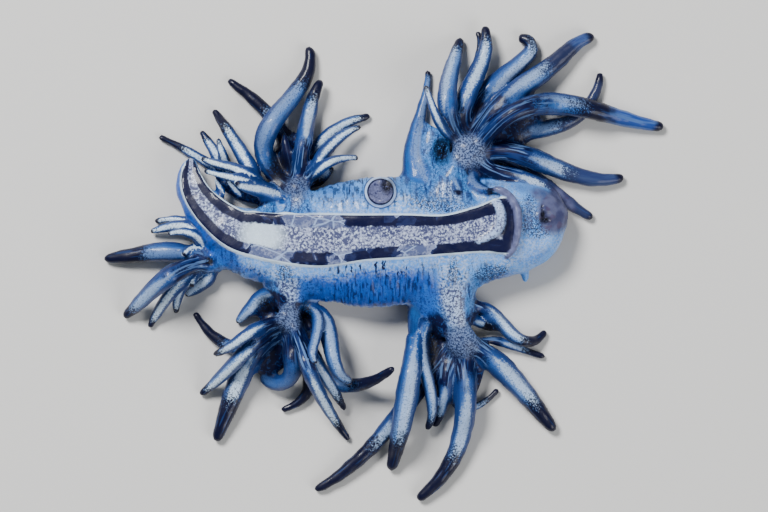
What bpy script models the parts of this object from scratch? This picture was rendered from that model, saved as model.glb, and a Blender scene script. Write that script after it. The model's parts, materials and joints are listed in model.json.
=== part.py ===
# Blue dragon sea slug, life size, stranded on its back on a flat floor, as separate solids.
# The animal lies belly up. Its head points to +X, its right side is at +Y and the foot, which is
# the sole that it would creep on, faces +Z. Lengths in the tables are millimetres, angles degrees.
import math
from collections import namedtuple

import bmesh
import bpy
from mathutils import Matrix, Vector

# Units, and the gap that keeps touching solids apart
MM = 0.001
GAP = 0.3
# Moves the drawing so that its footprint is centred on the origin
CENTRE = (0.0, 0.03)

# Cross-sections of the trunk, from the snout to the tail's tip: half the width, and the heights of
# the back, which lies on the floor, and of the belly. A back below the floor is pressed flat.
Station = namedtuple("Station", "x y half low high")
BODY_LINE = (
    Station(13.75, 3.3, 0.5, 1.2, 2.2),
    Station(13.2, 3.3, 1.6, 0.9, 2.8),
    Station(12.3, 3.2, 2.55, 0.85, 3.3),
    Station(11.0, 2.95, 3.2, 0.0, 3.7),
    Station(9.4, 2.6, 3.5, -0.35, 4.0),
    Station(7.6, 2.3, 3.7, -0.35, 4.1),
    Station(5.7, 1.9, 3.95, -0.35, 4.2),
    Station(3.4, 1.7, 4.4, -0.35, 4.4),
    Station(1.2, 1.65, 4.8, -0.35, 4.5),
    Station(-1.1, 1.5, 4.85, -0.35, 4.5),
    Station(-3.3, 1.4, 4.55, -0.35, 4.4),
    Station(-5.6, 1.1, 3.9, -0.35, 4.2),
    Station(-7.1, 1.2, 3.35, -0.35, 4.0),
    Station(-8.6, 1.3, 2.95, -0.35, 3.8),
    Station(-10.1, 1.6, 2.6, -0.35, 3.6),
    Station(-11.9, 2.6, 1.95, -0.35, 3.3),
    Station(-13.0, 3.65, 1.55, -0.35, 3.0),
    Station(-13.8, 4.5, 1.4, -0.3, 2.8),
    Station(-14.4, 5.5, 1.15, -0.2, 2.6),
    Station(-14.55, 6.3, 1.0, 0.1, 2.4),
    Station(-14.5, 7.0, 0.75, 0.6, 2.3),
    Station(-14.4, 7.55, 0.42, 1.1, 2.2),
    Station(-14.4, 7.85, 0.15, 1.5, 2.1),
)
# The foot: half its width and its thickness along its own line on the belly
Sole = namedtuple("Sole", "x y half thick")
FOOT_LINE = (
    Sole(10.15, 2.8, 1.0, 0.6),
    Sole(9.2, 2.8, 2.1, 0.8),
    Sole(7.2, 2.5, 1.7, 0.8),
    Sole(4.6, 2.1, 1.45, 0.8),
    Sole(1.6, 2.0, 1.6, 0.8),
    Sole(-1.4, 1.9, 1.7, 0.8),
    Sole(-4.4, 1.7, 1.95, 0.8),
    Sole(-6.8, 1.8, 1.95, 0.8),
    Sole(-9.1, 2.1, 1.8, 0.75),
    Sole(-11.0, 2.5, 1.55, 0.7),
    Sole(-12.7, 3.7, 1.3, 0.65),
    Sole(-13.9, 5.1, 1.05, 0.6),
    Sole(-14.4, 6.4, 0.8, 0.55),
    Sole(-14.4, 7.3, 0.45, 0.5),
)
FOOT_PROUD = 0.25
FOOT_RIM = 0.12
FOOT_HOLLOW = 0.1

# The lengths that the body and the foot are divided into, in stations from the front
BODY_LENGTHS = {
    "head": (0.0, 4.4),
    "trunk_front": (4.4, 8.0),
    "trunk_middle": (8.0, 10.6),
    "trunk_rear": (10.6, 14.0),
    "tail_base": (14.0, 17.0),
    "tail_tip": (17.0, 22.0),
}
FOOT_LENGTHS = {
    "foot_front": (0.0, 3.5),
    "foot_middle": (3.5, 6.5),
    "foot_rear": (6.5, 9.3),
    "foot_tail": (9.3, 13.0),
}
BODY_SIDES = 22
FOOT_SIDES = 16
BODY_RINGS_PER_STATION = 1.4
FOOT_RINGS_PER_STATION = 2.0

# An arm runs from inside the trunk over a point on its way to its palm, the knob that bears cerata
Arm = namedtuple("Arm", "root via palm root_half palm_half root_high palm_high palm_radius")
ARMS = {
    "front_right": Arm((4.5, 3.5), (4.6, 6.0), (6.3, 8.3), 3.0, 1.1, 3.9, 3.1, 1.25),
    "front_left": Arm((4.2, -0.5), (4.6, -3.2), (5.85, -5.8), 3.3, 1.75, 3.9, 3.0, 1.25),
    "middle_right": Arm((-6.3, 3.0), (-6.4, 4.4), (-6.5, 5.45), 1.6, 0.85, 3.6, 2.9, 0.95),
    "middle_left": Arm((-6.8, -0.3), (-7.0, -2.4), (-7.05, -4.15), 2.5, 1.2, 3.6, 2.8, 1.0),
    "rear_right": Arm((-8.7, 2.8), (-8.7, 4.0), (-8.6, 4.8), 1.1, 0.7, 3.2, 2.6, 0.8),
    "rear_left": Arm((-10.2, 0.8), (-11.7, 0.2), (-13.0, 0.05), 1.2, 0.75, 3.0, 2.4, 0.75),
}
# The broad flap of flesh beside an arm, from the trunk to where its edge ceras stands
FLAPS = {
    "front_right": Arm((3.3, 3.5), (2.9, 7.0), (4.3, 10.2), 2.7, 1.2, 3.6, 1.7, 0.3),
}
# The low webs of flesh at the roots of a fan: middle, half sizes, height and bearing of each
Web = namedtuple("Web", "x y long wide high bearing")
WEBS = {
    "front_right": (Web(8.7, 10.4, 3.5, 2.5, 0.95, 40.0), Web(7.3, 7.0, 1.3, 0.9, 1.1, -40.0)),
    "front_left": (Web(5.6, -8.0, 2.7, 1.9, 0.9, 90.0),),
    "middle_right": (Web(-6.8, 7.6, 2.3, 1.4, 0.85, 95.0),),
    "middle_left": (Web(-8.3, -6.1, 2.5, 1.9, 0.85, 60.0),),
    "rear_right": (Web(-10.7, 5.5, 2.2, 0.85, 0.6, 155.0),),
}
# The webs between an arm and the cerata of its edges
ARM_WEBS = {
    "front_left": (Web(3.7, -5.9, 2.0, 0.9, 0.8, 84.0), Web(7.5, -4.5, 1.2, 0.55, 0.7, -20.0)),
    "middle_left": (Web(-8.6, -3.0, 1.6, 0.8, 0.8, 35.0), Web(-5.7, -4.1, 1.7, 0.9, 0.8, 95.0)),
}
# Arms too short to show between the trunk and their palm, each one solid with its crown
SHORT_ARMS = ("middle_right", "rear_right", "rear_left")
ARM_SIDES = 14
ARM_STEPS = 7
ARM_LOW = 0.25
ARM_END_SHORT = 0.75
PALM_FLATNESS = 0.72
PALM_SIDES = 12
PALM_RINGS = 8

# The cerata, the finger-like lobes of the arms. Each is seen from above as a chord from root to
# tip that bows to its left by near at a third and by far at two thirds, and its end may turn by
# curl. Girth is its largest radius, reached at full, and end is the tip's share of it. A ceras
# grows from the palm unless its stem is the arm's side or, for a branch, another ceras. Each list
# runs from the lowest, on the floor, to the topmost.
Ceras = namedtuple("Ceras", "root tip near far girth stem curl curl_from full taper end")
Ceras.__new__.__defaults__ = ("palm", 0.0, 0.8, 0.38, 0.7, 0.42)
CERATA = {
    "front_right": (
        Ceras((7.0, 8.7), (16.25, 14.3), -0.9, -1.95, 0.67),
        Ceras((7.3, 7.9), (15.7, 3.35), 0.75, 0.3, 0.48, full=0.75, end=0.6),
        Ceras((6.0, 9.1), (7.0, 17.4), 0.7, -0.15, 0.43),
        Ceras((6.6, 9.1), (11.9, 17.3), 1.05, 0.25, 0.83, curl=140),
        Ceras((6.2, 9.2), (7.5, 17.75), 0.55, -0.22, 0.74),
        Ceras((3.6, 5.0), (3.3, 14.45), 1.2, 0.6, 1.3, "arm", full=0.12, taper=2.0, end=0.2),
        Ceras((5.7, 9.0), (5.8, 16.9), 1.0, 0.75, 0.76),
        Ceras((5.4, 8.9), (3.1, 13.2), 0.4, 0.3, 0.37),
        Ceras((7.1, 8.2), (18.0, 6.45), 0.3, -0.45, 0.8),
        Ceras((6.9, 9.0), (15.1, 17.8), 0.5, -0.2, 0.87, curl=-50),
        Ceras((7.1, 8.7), (21.0, 10.2), 2.6, 1.6, 0.86),
        Ceras((7.2, 7.6), (13.3, 2.7), 0.65, 1.45, 0.62, curl=-40),
        Ceras((5.5, 7.6), (5.6, 5.4), -0.5, -0.3, 0.36),
        Ceras((6.5, 7.6), (8.0, 5.4), -0.7, -0.7, 0.52),
    ),
    "front_left": (
        Ceras((5.2, -6.1), (-5.2, -17.05), 0.5, 0.85, 0.7),
        Ceras((6.1, -6.6), (8.9, -10.0), -1.9, -3.0, 0.45, curl=25),
        Ceras((6.7, -5.8), (12.1, -7.05), 0.33, 0.17, 0.35),
        Ceras((5.4, -6.4), (3.7, -12.3), -0.15, 0.18, 0.55),
        Ceras((6.0, -6.5), (2.5, -17.75), 1.35, 1.65, 0.82, full=0.3),
        Ceras((6.6, -6.1), (12.8, -12.6), 0.4, 0.3, 0.92, full=0.3),
        Ceras((6.4, -3.2), (12.4, -5.4), -0.15, -1.05, 0.59, "arm", curl=30),
        Ceras((6.4, -4.2), (7.8, -4.75), 0.0, 0.0, 0.35, "arm"),
        Ceras((3.2, -2.2), (2.2, -6.4), -0.3, -0.15, 0.9, "arm", full=0.15, taper=1.0),
        Ceras((4.0, -3.4), (3.2, -12.55), -0.9, 0.0, 0.58, "arm"),
        Ceras((2.3, -5.4), (0.5, -15.6), 0.2, 0.2, 0.87, "arm", full=0.45),
    ),
    "middle_right": (
        Ceras((-6.8, 6.0), (-11.7, 13.7), -1.2, -1.05, 0.62),
        Ceras((-6.7, 6.3), (-7.5, 9.9), 0.05, 0.05, 0.5),
        Ceras((-5.8, 5.7), (-3.8, 7.2), -0.1, -0.1, 0.47),
        Ceras((-6.1, 6.2), (-1.0, 11.0), 0.95, 1.0, 0.56),
        Ceras((-7.2, 5.6), (-5.7, 16.25), 2.15, 0.4, 0.8),
        Ceras((-6.4, 6.2), (-4.7, 13.7), 0.2, 0.33, 0.69),
        Ceras((-6.0, 5.9), (-1.7, 10.2), 0.4, 0.58, 0.51),
        Ceras((-5.9, 5.6), (-1.9, 7.8), 0.63, 0.7, 0.41),
    ),
    "middle_left": (
        Ceras((-7.3, -4.5), (-14.2, -3.7), 2.05, 2.0, 0.55),
        Ceras((-6.6, -4.9), (-7.7, -11.05), 0.95, 1.75, 0.55),
        Ceras((-6.4, -4.8), (0.8, -7.8), -2.3, -2.6, 0.66),
        Ceras((-7.0, -4.7), (-6.5, -11.3), 0.0, 0.0, 0.75, curl=-165, curl_from=0.45),
        Ceras((-7.2, -4.7), (-12.6, -13.4), -1.0, -0.7, 0.81, full=0.55),
        Ceras((-7.4, -4.5), (-13.8, -9.9), -0.27, -0.06, 0.62),
        Ceras((-7.6, -4.2), (-12.7, -6.85), -0.25, -0.02, 0.52),
        Ceras((-7.4, -2.4), (-11.1, -4.5), -0.7, -0.37, 0.62, "arm"),
        Ceras((-6.5, -4.5), (-2.9, -11.0), -0.1, -0.05, 0.56),
        Ceras((-6.7, -4.8), (-2.6, -13.3), -0.35, -0.4, 0.56),
        Ceras((-6.6, -3.2), (-2.3, -8.95), 1.0, -0.05, 0.7, "arm"),
        Ceras((-6.6, -3.2), (-5.0, -7.5), 1.2, 0.35, 0.5, "arm"),
    ),
    "rear_right": (
        Ceras((-9.0, 5.0), (-16.9, 9.5), 0.0, -0.1, 0.43),
        Ceras((-12.0, 6.6), (-13.7, 9.95), -0.2, -0.1, 0.45, "branch"),
        Ceras((-11.2, 6.2), (-12.4, 9.3), 0.1, 0.1, 0.4, "branch"),
        Ceras((-9.1, 5.3), (-12.8, 11.5), -0.17, -0.15, 0.58),
        Ceras((-8.6, 5.2), (-13.7, 7.85), -0.55, -0.3, 0.47),
        Ceras((-8.3, 5.0), (-13.4, 6.9), -0.35, -0.17, 0.45),
        Ceras((-7.5, 4.7), (-11.0, 5.8), -0.2, -0.1, 0.69, full=0.3),
        Ceras((-10.6, 4.9), (-11.7, 6.2), 0.0, 0.0, 0.38, "branch"),
        Ceras((-11.9, 5.1), (-12.7, 6.4), 0.0, 0.0, 0.35, "branch"),
    ),
    "rear_left": (
        Ceras((-13.5, 0.7), (-17.2, 3.1), -1.2, -1.1, 0.38),
        Ceras((-12.7, 0.0), (-14.9, -2.5), 0.4, 0.25, 0.58),
        Ceras((-13.4, 0.5), (-17.5, 2.3), -1.4, -1.15, 0.5),
        Ceras((-13.3, 0.4), (-16.1, 2.15), -0.85, -0.85, 0.41),
        Ceras((-13.2, -0.3), (-15.6, -3.85), -0.75, -0.65, 0.5),
        Ceras((-13.3, -0.2), (-17.6, -4.9), -0.5, -0.45, 0.54),
        Ceras((-13.1, -0.2), (-14.3, -1.8), -0.4, -0.35, 0.41),
        Ceras((-13.4, 0.3), (-21.0, 0.3), -0.53, -0.33, 0.74),
        Ceras((-13.4, 0.0), (-19.5, -4.1), -0.6, -0.38, 0.74),
        Ceras((-13.3, 0.6), (-15.0, 0.55), -0.55, -0.5, 0.31),
    ),
}
CERAS_SIDES_RESOLUTION = 2
CERAS_STEPS = (0.0, 0.15, 0.33, 0.52, 0.72, 0.9, 1.0)
CERAS_ROOT_SHARE = 0.68
CERAS_LEAST_RADIUS = 0.25
CERAS_END_SHARE = 0.45
LAY_POINTS = 33
FLOOR_CLEARANCE = 0.04
DROOP_LOWEST = 3.5
DROOP_HIGHEST = 1.5
ROOT_LOWEST = 0.45
ROOT_HIGHEST = 0.75
FREE_OVER = 2.2
STEEPEST = 0.9
SMOOTHINGS = 6
OVERHANG = 0.7

# The feelers at the head: where each stands, its bearing, length and girth, and its height
Feeler = namedtuple("Feeler", "x y bearing length girth height")
FEELERS = {
    "oral_tentacle_left": Feeler(10.45, 0.2, -85, 1.65, 0.38, 1.1),
    "oral_tentacle_right": Feeler(11.3, 5.0, 55, 1.5, 0.3, 1.95),
    "rhinophore_left": Feeler(11.7, 2.1, -20, 1.5, 0.26, 0.3),
    "rhinophore_right": Feeler(11.9, 4.0, 5, 1.5, 0.26, 0.3),
}
# The cerata of an arm that lie across a feeler
CROSSING = {"oral_tentacle_right": ("front_right", (1, 11))}
LIPS_PLACE = (12.05, 3.5, 3.35)
LIPS_RADIUS = 0.6
LIPS_NARROWING = 0.75
LIPS_THICKNESS = 0.28
LIPS_LEAN = 24.0
PAPILLA_PLACE = (-0.25, 5.3, 3.75)
PAPILLA_RADIUS = 1.0
PAPILLA_THICKNESS = 0.27
PAPILLA_LEAN = 42.0

# Colours of the sub-parts
FLANK_BLUE = (0.13, 0.34, 0.66)
HEAD_BLUE = (0.3, 0.47, 0.72)
SOLE_SILVER = (0.6, 0.62, 0.72)
CERATA_BLUE = (0.12, 0.2, 0.42)
FEELER_TEAL = (0.12, 0.4, 0.55)

Spot = namedtuple("Spot", "share x y z radius")


def clear_scene():
    for obj in list(bpy.data.objects):
        bpy.data.objects.remove(obj)


def point(x, y, z):
    """A place of the drawing in metres, moved to the model's centre."""
    return Vector(((x + CENTRE[0]) * MM, (y + CENTRE[1]) * MM, z * MM))


def blend(a, b, t):
    return a + (b - a) * t


def ease(t):
    t = min(max(t, 0.0), 1.0)
    return t * t * (3.0 - 2.0 * t)


def power(value, exponent):
    return math.copysign(abs(value) ** exponent, value)


def along(line, place):
    """The smooth row of values at a place counted in stations, by a Catmull-Rom spline."""
    last = len(line) - 1
    first = min(max(int(place), 0), last - 1)
    t = place - first
    rows = [line[min(max(first + k, 0), last)] for k in (-1, 0, 1, 2)]
    values = []
    for before, start, end, after in zip(*rows):
        leave = (end - before) / 2.0
        arrive = (after - start) / 2.0
        rest = end - start
        square = 3 * rest - 2 * leave - arrive
        cube = leave + arrive - 2 * rest
        values.append(start + leave * t + square * t * t + cube * t**3)
    return values


def heading(line, place):
    """The direction of travel at a place on a line, as an angle from +X."""
    step = 0.05
    ahead = along(line, min(place + step, len(line) - 1))
    behind = along(line, max(place - step, 0.0))
    return math.atan2(ahead[1] - behind[1], ahead[0] - behind[0])


def places(start, end, per_unit):
    count = max(2, round((end - start) * per_unit))
    return [blend(start, end, k / count) for k in range(count + 1)]


def shift_along(line, place, distance):
    """The place that lies a distance further along a line, in stations."""
    way = math.copysign(0.02, distance)
    here = along(line, place)
    travelled = 0.0
    while travelled < abs(distance):
        place += way
        there = along(line, place)
        travelled += math.hypot(there[0] - here[0], there[1] - here[1])
        here = there
    return place


def parted(line, start, end):
    """The ends of a length, drawn back by half the gap where it meets the next length."""
    if start > 0:
        start = shift_along(line, start, GAP / 2)
    if end < len(line) - 1:
        end = shift_along(line, end, -GAP / 2)
    return start, end


def new_object(name, mesh, collection):
    obj = bpy.data.objects.new(name, mesh)
    collection.objects.link(obj)
    return obj


def mesh_object(name, bm, collection):
    mesh = bpy.data.meshes.new(name)
    bm.to_mesh(mesh)
    bm.free()
    return new_object(name, mesh, collection)


def loft(name, rings, collection):
    """A closed solid through rings of points, capped at both ends."""
    bm = bmesh.new()
    loops = [[bm.verts.new(p) for p in ring] for ring in rings]
    for near, far in zip(loops, loops[1:]):
        for k in range(len(near)):
            after = (k + 1) % len(near)
            bm.faces.new((near[k], near[after], far[after], far[k]))
    bm.faces.new(loops[0])
    bm.faces.new(loops[-1])
    bmesh.ops.recalc_face_normals(bm, faces=bm.faces)
    return mesh_object(name, bm, collection)


def section(centre, angle, half, low, high, sides, extra, boxy=0.86):
    """A rounded cross-section at a centre, square to a heading, pressed flat on the floor."""
    middle = blend(low, high, 0.45)
    ring = []
    for k in range(sides):
        turn = 2 * math.pi * k / sides
        side = power(math.cos(turn), boxy) * (half + extra)
        reach = (high - middle if math.sin(turn) > 0 else middle - low) + extra
        height = middle + power(math.sin(turn), boxy) * reach
        x = centre[0] - math.sin(angle) * side
        y = centre[1] + math.cos(angle) * side
        ring.append(point(x, y, max(height, -extra)))
    return ring


def body_length(name, start, end, collection, extra=0.0):
    """One length of the trunk."""
    start, end = parted(BODY_LINE, start, end)
    rings = []
    for place in places(start, end, BODY_RINGS_PER_STATION):
        x, y, half, low, high = along(BODY_LINE, place)
        angle = heading(BODY_LINE, place)
        reach = extra * ((place == end) - (place == start))
        centre = (x + math.cos(angle) * reach, y + math.sin(angle) * reach)
        rings.append(section(centre, angle, half, low, high, BODY_SIDES, extra))
    return loft(name, rings, collection)


def nearest_place(line, x, y):
    """The place on a line that is nearest to a point, in stations."""
    tries = [k / 8 for k in range(8 * (len(line) - 1) + 1)]
    return min(tries, key=lambda p: math.hypot(along(line, p)[0] - x, along(line, p)[1] - y))


def sole_section(place, extra):
    """A cross-section of the foot: a flat strip with round edges, raised rims and a shallow hollow."""
    x, y, half, thick = along(FOOT_LINE, place)
    angle = heading(FOOT_LINE, place)
    top = along(BODY_LINE, nearest_place(BODY_LINE, x, y))[4] + FOOT_PROUD
    ring = []
    for k in range(FOOT_SIDES):
        turn = 2 * math.pi * k / FOOT_SIDES
        across = power(math.cos(turn), 0.7)
        side = across * (half + extra)
        height = top - thick / 2 + power(math.sin(turn), 0.6) * (thick / 2 + extra)
        if math.sin(turn) > 0:
            height += FOOT_RIM * across**4 - FOOT_HOLLOW * (1 - across**2)
        ring.append(point(x - math.sin(angle) * side, y + math.cos(angle) * side, height))
    return ring


def foot_length(name, start, end, collection, extra=0.0):
    """One length of the foot."""
    start, end = parted(FOOT_LINE, start, end)
    rings = [sole_section(p, extra) for p in places(start, end, FOOT_RINGS_PER_STATION)]
    return loft(name, rings, collection)


def arm_rows(arm, steps):
    """Centre, heading, half width and height of the top at steps along an arm."""
    rows = []
    for k in range(steps):
        t = k / (steps - 1)
        legs = tuple(zip(arm.root, arm.via, arm.palm))
        x, y = [(1 - t) ** 2 * r + 2 * t * (1 - t) * v + t * t * p for r, v, p in legs]
        dx, dy = [(1 - t) * (v - r) + t * (p - v) for r, v, p in legs]
        angle = math.atan2(dy, dx)
        back = ARM_END_SHORT * arm.palm_radius * t
        centre = (x - math.cos(angle) * back, y - math.sin(angle) * back)
        half = blend(arm.root_half, arm.palm_half, ease(t * 1.1))
        rows.append((centre, angle, half, blend(arm.root_high, arm.palm_high, t)))
    return rows


def arm_loft(name, arm, collection, extra=0.0):
    """The stout stalk of an arm, from inside the trunk to just short of its palm's centre."""
    rings = []
    rows = arm_rows(arm, ARM_STEPS)
    for centre, angle, half, high in rows:
        reach = extra if high == rows[-1][3] else 0.0
        centre = (centre[0] + math.cos(angle) * reach, centre[1] + math.sin(angle) * reach)
        rings.append(section(centre, angle, half, ARM_LOW, high, ARM_SIDES, extra))
    return loft(name, rings, collection)


def ceras_radius(ceras, share):
    """Slim at the root, stoutest at its full place, tapered to a blunt tip."""
    if share < ceras.full:
        part = blend(CERAS_ROOT_SHARE, 1.0, ease(share / ceras.full))
    else:
        left = (1.0 - share) / (1.0 - ceras.full)
        part = blend(ceras.end, 1.0, left**ceras.taper)
    return max(ceras.girth * part, CERAS_LEAST_RADIUS)


def curled(points, ceras):
    """Turns the end of a path more and more, to its full curl at the tip."""
    last = len(points) - 1
    found = [points[0]]
    for k in range(last):
        past = max((k + 0.5) / last - ceras.curl_from, 0.0) / (1.0 - ceras.curl_from)
        turn = math.radians(ceras.curl) * past
        dx = points[k + 1][0] - points[k][0]
        dy = points[k + 1][1] - points[k][1]
        x = found[-1][0] + math.cos(turn) * dx - math.sin(turn) * dy
        y = found[-1][1] + math.sin(turn) * dx + math.cos(turn) * dy
        found.append((x, y))
    return found


def plan_path(ceras):
    """The points of a ceras seen from above, from root to tip."""
    (x0, y0), (x1, y1) = ceras.root, ceras.tip
    length = math.hypot(x1 - x0, y1 - y0)
    side_x, side_y = (y0 - y1) / length, (x1 - x0) / length
    points = []
    for k in range(LAY_POINTS):
        t = k / (LAY_POINTS - 1)
        # The cubic that passes through near at a third and far at two thirds
        bow = 13.5 * t * (1 - t) * (ceras.near * (2 / 3 - t) + ceras.far * (t - 1 / 3))
        points.append((blend(x0, x1, t) + side_x * bow, blend(y0, y1, t) + side_y * bow))
    return curled(points, ceras)


def dome(offset, half, low, high, boxy=0.86):
    """The height of a rounded section's top at an offset from its middle."""
    part = 1.0 - (abs(offset) / half) ** (2.0 / boxy)
    return blend(low, high, 0.45) + (high - blend(low, high, 0.45)) * part ** (boxy / 2.0)


def body_top(x, y):
    """The height of the trunk's top at a place, or None beside it or where it overhangs."""
    place = nearest_place(BODY_LINE, x, y)
    bx, by, half, low, high = along(BODY_LINE, place)
    offset = math.hypot(x - bx, y - by)
    if offset > half * 0.97 or low > OVERHANG:
        return None
    return dome(offset, half, low, high)


def arm_top(x, y, sides):
    """The height of the highest of some arms at a place, or None beside them."""
    tops = []
    for side in sides:
        rows = arm_rows(ARMS[side], 2 * ARM_STEPS)
        if side in FLAPS:
            rows.extend(arm_rows(FLAPS[side], 2 * ARM_STEPS))
        for centre, _, half, high in rows:
            offset = math.hypot(x - centre[0], y - centre[1])
            if offset < half * 0.97:
                tops.append(dome(offset, half, ARM_LOW, high))
    return max(tops, default=None)


def least_height(x, y, radius, ceras, side, laid):
    """The least height at which a new ceras clears the trunk, the arms and the cerata under it."""
    least = radius + FLOOR_CLEARANCE
    others = [s for s in ARMS if not (ceras.stem == "arm" and s == side)]
    for top in (body_top(x, y), arm_top(x, y, others)):
        if top is not None:
            least = max(least, top + GAP + radius)
    for spot in laid:
        need = radius + spot.radius + GAP
        flat = math.hypot(x - spot.x, y - spot.y)
        if flat < need:
            least = max(least, spot.z + math.sqrt(need * need - flat * flat))
    return least


def smooth_heights(heights, step):
    """Spreads each rise over a length that soft flesh would take, then rounds the profile."""
    count = range(len(heights))
    fall = STEEPEST * step
    spread = [max(heights[j] - fall * abs(i - j) for j in count) for i in count]
    for _ in range(SMOOTHINGS):
        inner = [(a + 2 * b + c) / 4 for a, b, c in zip(spread, spread[1:], spread[2:])]
        spread = [spread[0], *inner, spread[-1]]
    return spread


def lay(ceras, side, rank, laid):
    """Lays one ceras over those already laid and gives its spots from root to tip."""
    arm = ARMS[side]
    path = plan_path(ceras)
    root_height = arm.palm_high * blend(ROOT_LOWEST, ROOT_HIGHEST, rank)
    droop = blend(DROOP_LOWEST, DROOP_HIGHEST, rank)
    heights = []
    length = 0.0
    for k, (x, y) in enumerate(path):
        share = k / (LAY_POINTS - 1)
        radius = ceras_radius(ceras, share)
        rest = radius + FLOOR_CLEARANCE
        height = rest + (root_height - rest) * (1.0 - share) ** droop
        least = least_height(x, y, radius, ceras, side, laid)
        away = math.hypot(x - ceras.root[0], y - ceras.root[1]) - ceras.girth
        if ceras.stem == "palm":
            away = math.hypot(x - arm.palm[0], y - arm.palm[1]) - arm.palm_radius
        heights.append(height + max(least - height, 0.0) * ease(away / FREE_OVER))
        if k:
            length += math.hypot(x - path[k - 1][0], y - path[k - 1][1])
    heights = smooth_heights(heights, length / (LAY_POINTS - 1))
    spots = []
    for k, ((x, y), z) in enumerate(zip(path, heights)):
        share = k / (LAY_POINTS - 1)
        radius = ceras_radius(ceras, share)
        spots.append(Spot(share, x, y, max(z, radius + FLOOR_CLEARANCE), radius))
    return spots


def lay_all():
    """The spots of every ceras by arm, each laid over the ones before it."""
    laid = []
    found = {}
    for side, row in CERATA.items():
        found[side] = []
        for k, ceras in enumerate(row):
            spots = lay(ceras, side, k / (len(row) - 1), laid)
            found[side].append(spots)
            laid.extend(spots[2:])
    return found


def tube(name, stations, collection, extra=0.0):
    """A round, capped tube through stations of x, y, z and radius, as a closed mesh."""
    curve = bpy.data.curves.new(name, "CURVE")
    curve.dimensions = "3D"
    curve.bevel_depth = MM
    curve.bevel_resolution = CERAS_SIDES_RESOLUTION
    curve.use_fill_caps = True
    spline = curve.splines.new("POLY")
    spline.points.add(len(stations) - 1)
    for spot, (x, y, z, radius) in zip(spline.points, stations):
        spot.co = (*point(x, y, z), 1.0)
        spot.radius = radius + extra
    guide = new_object(name + "_line", curve, collection)
    graph = bpy.context.evaluated_depsgraph_get()
    mesh = bpy.data.meshes.new_from_object(guide.evaluated_get(graph))
    bm = bmesh.new()
    bm.from_mesh(mesh)
    bmesh.ops.remove_doubles(bm, verts=bm.verts, dist=0.001 * MM)
    bmesh.ops.recalc_face_normals(bm, faces=bm.faces)
    bm.to_mesh(mesh)
    bm.free()
    bpy.data.objects.remove(guide)
    return new_object(name, mesh, collection)


def ceras_tube(name, spots, collection, extra=0.0):
    """A ceras as a tube through its chosen stations, with a rounded end."""
    stations = []
    for share in CERAS_STEPS:
        spot = spots[round(share * (LAY_POINTS - 1))]
        end = CERAS_END_SHARE if share == 1.0 else 1.0
        stations.append((spot.x, spot.y, spot.z, spot.radius * end))
    return tube(name, stations, collection, extra)


def ball(name, place, size, turn, collection):
    """An ellipsoid of three half sizes, turned and set at a place."""
    bm = bmesh.new()
    matrix = Matrix.Translation(point(*place)) @ turn @ Matrix.Diagonal((*size, 1.0))
    bmesh.ops.create_uvsphere(
        bm, u_segments=PALM_SIDES, v_segments=PALM_RINGS, radius=MM, matrix=matrix
    )
    return mesh_object(name, bm, collection)


def web_solid(web, collection, extra=0.0):
    """A low web of flesh, a flattened ball just clear of the floor."""
    turn = Matrix.Rotation(math.radians(web.bearing), 4, "Z")
    place = (web.x, web.y, web.high + FLOOR_CLEARANCE)
    return ball("web", place, [half + extra for half in web[2:5]], turn, collection)


def palm_solid(name, arm, collection):
    """The knob at an arm's end."""
    radius = arm.palm_radius
    height = radius * PALM_FLATNESS
    place = (*arm.palm, arm.palm_high - height)
    return ball(name, place, (radius, radius, height), Matrix.Identity(4), collection)


def settle(obj):
    """Applies an object's modifiers."""
    graph = bpy.context.evaluated_depsgraph_get()
    mesh = bpy.data.meshes.new_from_object(obj.evaluated_get(graph))
    obj.modifiers.clear()
    obj.data = mesh


def island_volume(faces):
    return sum(
        f.verts[0].co.cross(f.verts[k].co).dot(f.verts[k + 1].co)
        for f in faces
        for k in range(1, len(f.verts) - 1)
    )


def keep_largest(obj):
    """Leaves only the closed surface that encloses most, which drops scraps and sealed hollows."""
    bm = bmesh.new()
    bm.from_mesh(obj.data)
    waiting = set(bm.faces)
    islands = []
    while waiting:
        island = []
        edge = [waiting.pop()]
        while edge:
            face = edge.pop()
            island.append(face)
            for near in {f for e in face.edges for f in e.link_faces} & waiting:
                waiting.remove(near)
                edge.append(near)
        islands.append(island)
    islands.sort(key=island_volume, reverse=True)
    dropped = [f for island in islands[1:] for f in island]
    bmesh.ops.delete(bm, geom=dropped, context="FACES")
    bm.to_mesh(obj.data)
    bm.free()


def combine(obj, others, operation):
    """One Boolean of an object with a collection of closed meshes, applied."""
    if not others:
        return
    group = bpy.data.collections.new(obj.name + "_" + operation.lower())
    for other in others:
        group.objects.link(other)
    modifier = obj.modifiers.new(operation.lower(), "BOOLEAN")
    modifier.operation = operation
    modifier.operand_type = "COLLECTION"
    modifier.collection = group
    modifier.solver = "EXACT"
    settle(obj)
    bpy.data.collections.remove(group)


def remove(objects):
    for obj in objects:
        bpy.data.objects.remove(obj)


def paint(obj, colour, roughness):
    """Gives an object its own material and shades it smooth."""
    material = bpy.data.materials.new(obj.name)
    material.use_nodes = True
    shader = material.node_tree.nodes["Principled BSDF"]
    shader.inputs["Base Color"].default_value = (*colour, 1.0)
    shader.inputs["Roughness"].default_value = roughness
    shader.inputs["Metallic"].default_value = 0.0
    obj.data.materials.clear()
    obj.data.materials.append(material)
    obj.data.shade_smooth()


def body_cutters(tools):
    """The whole trunk and the whole foot, one gap larger all round, which clear their neighbours."""
    trunk = body_length("trunk_cutter", 0.0, len(BODY_LINE) - 1.0, tools, GAP)
    foot = foot_length("foot_cutter", 0.0, len(FOOT_LINE) - 1.0, tools, GAP)
    return trunk, foot


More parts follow.
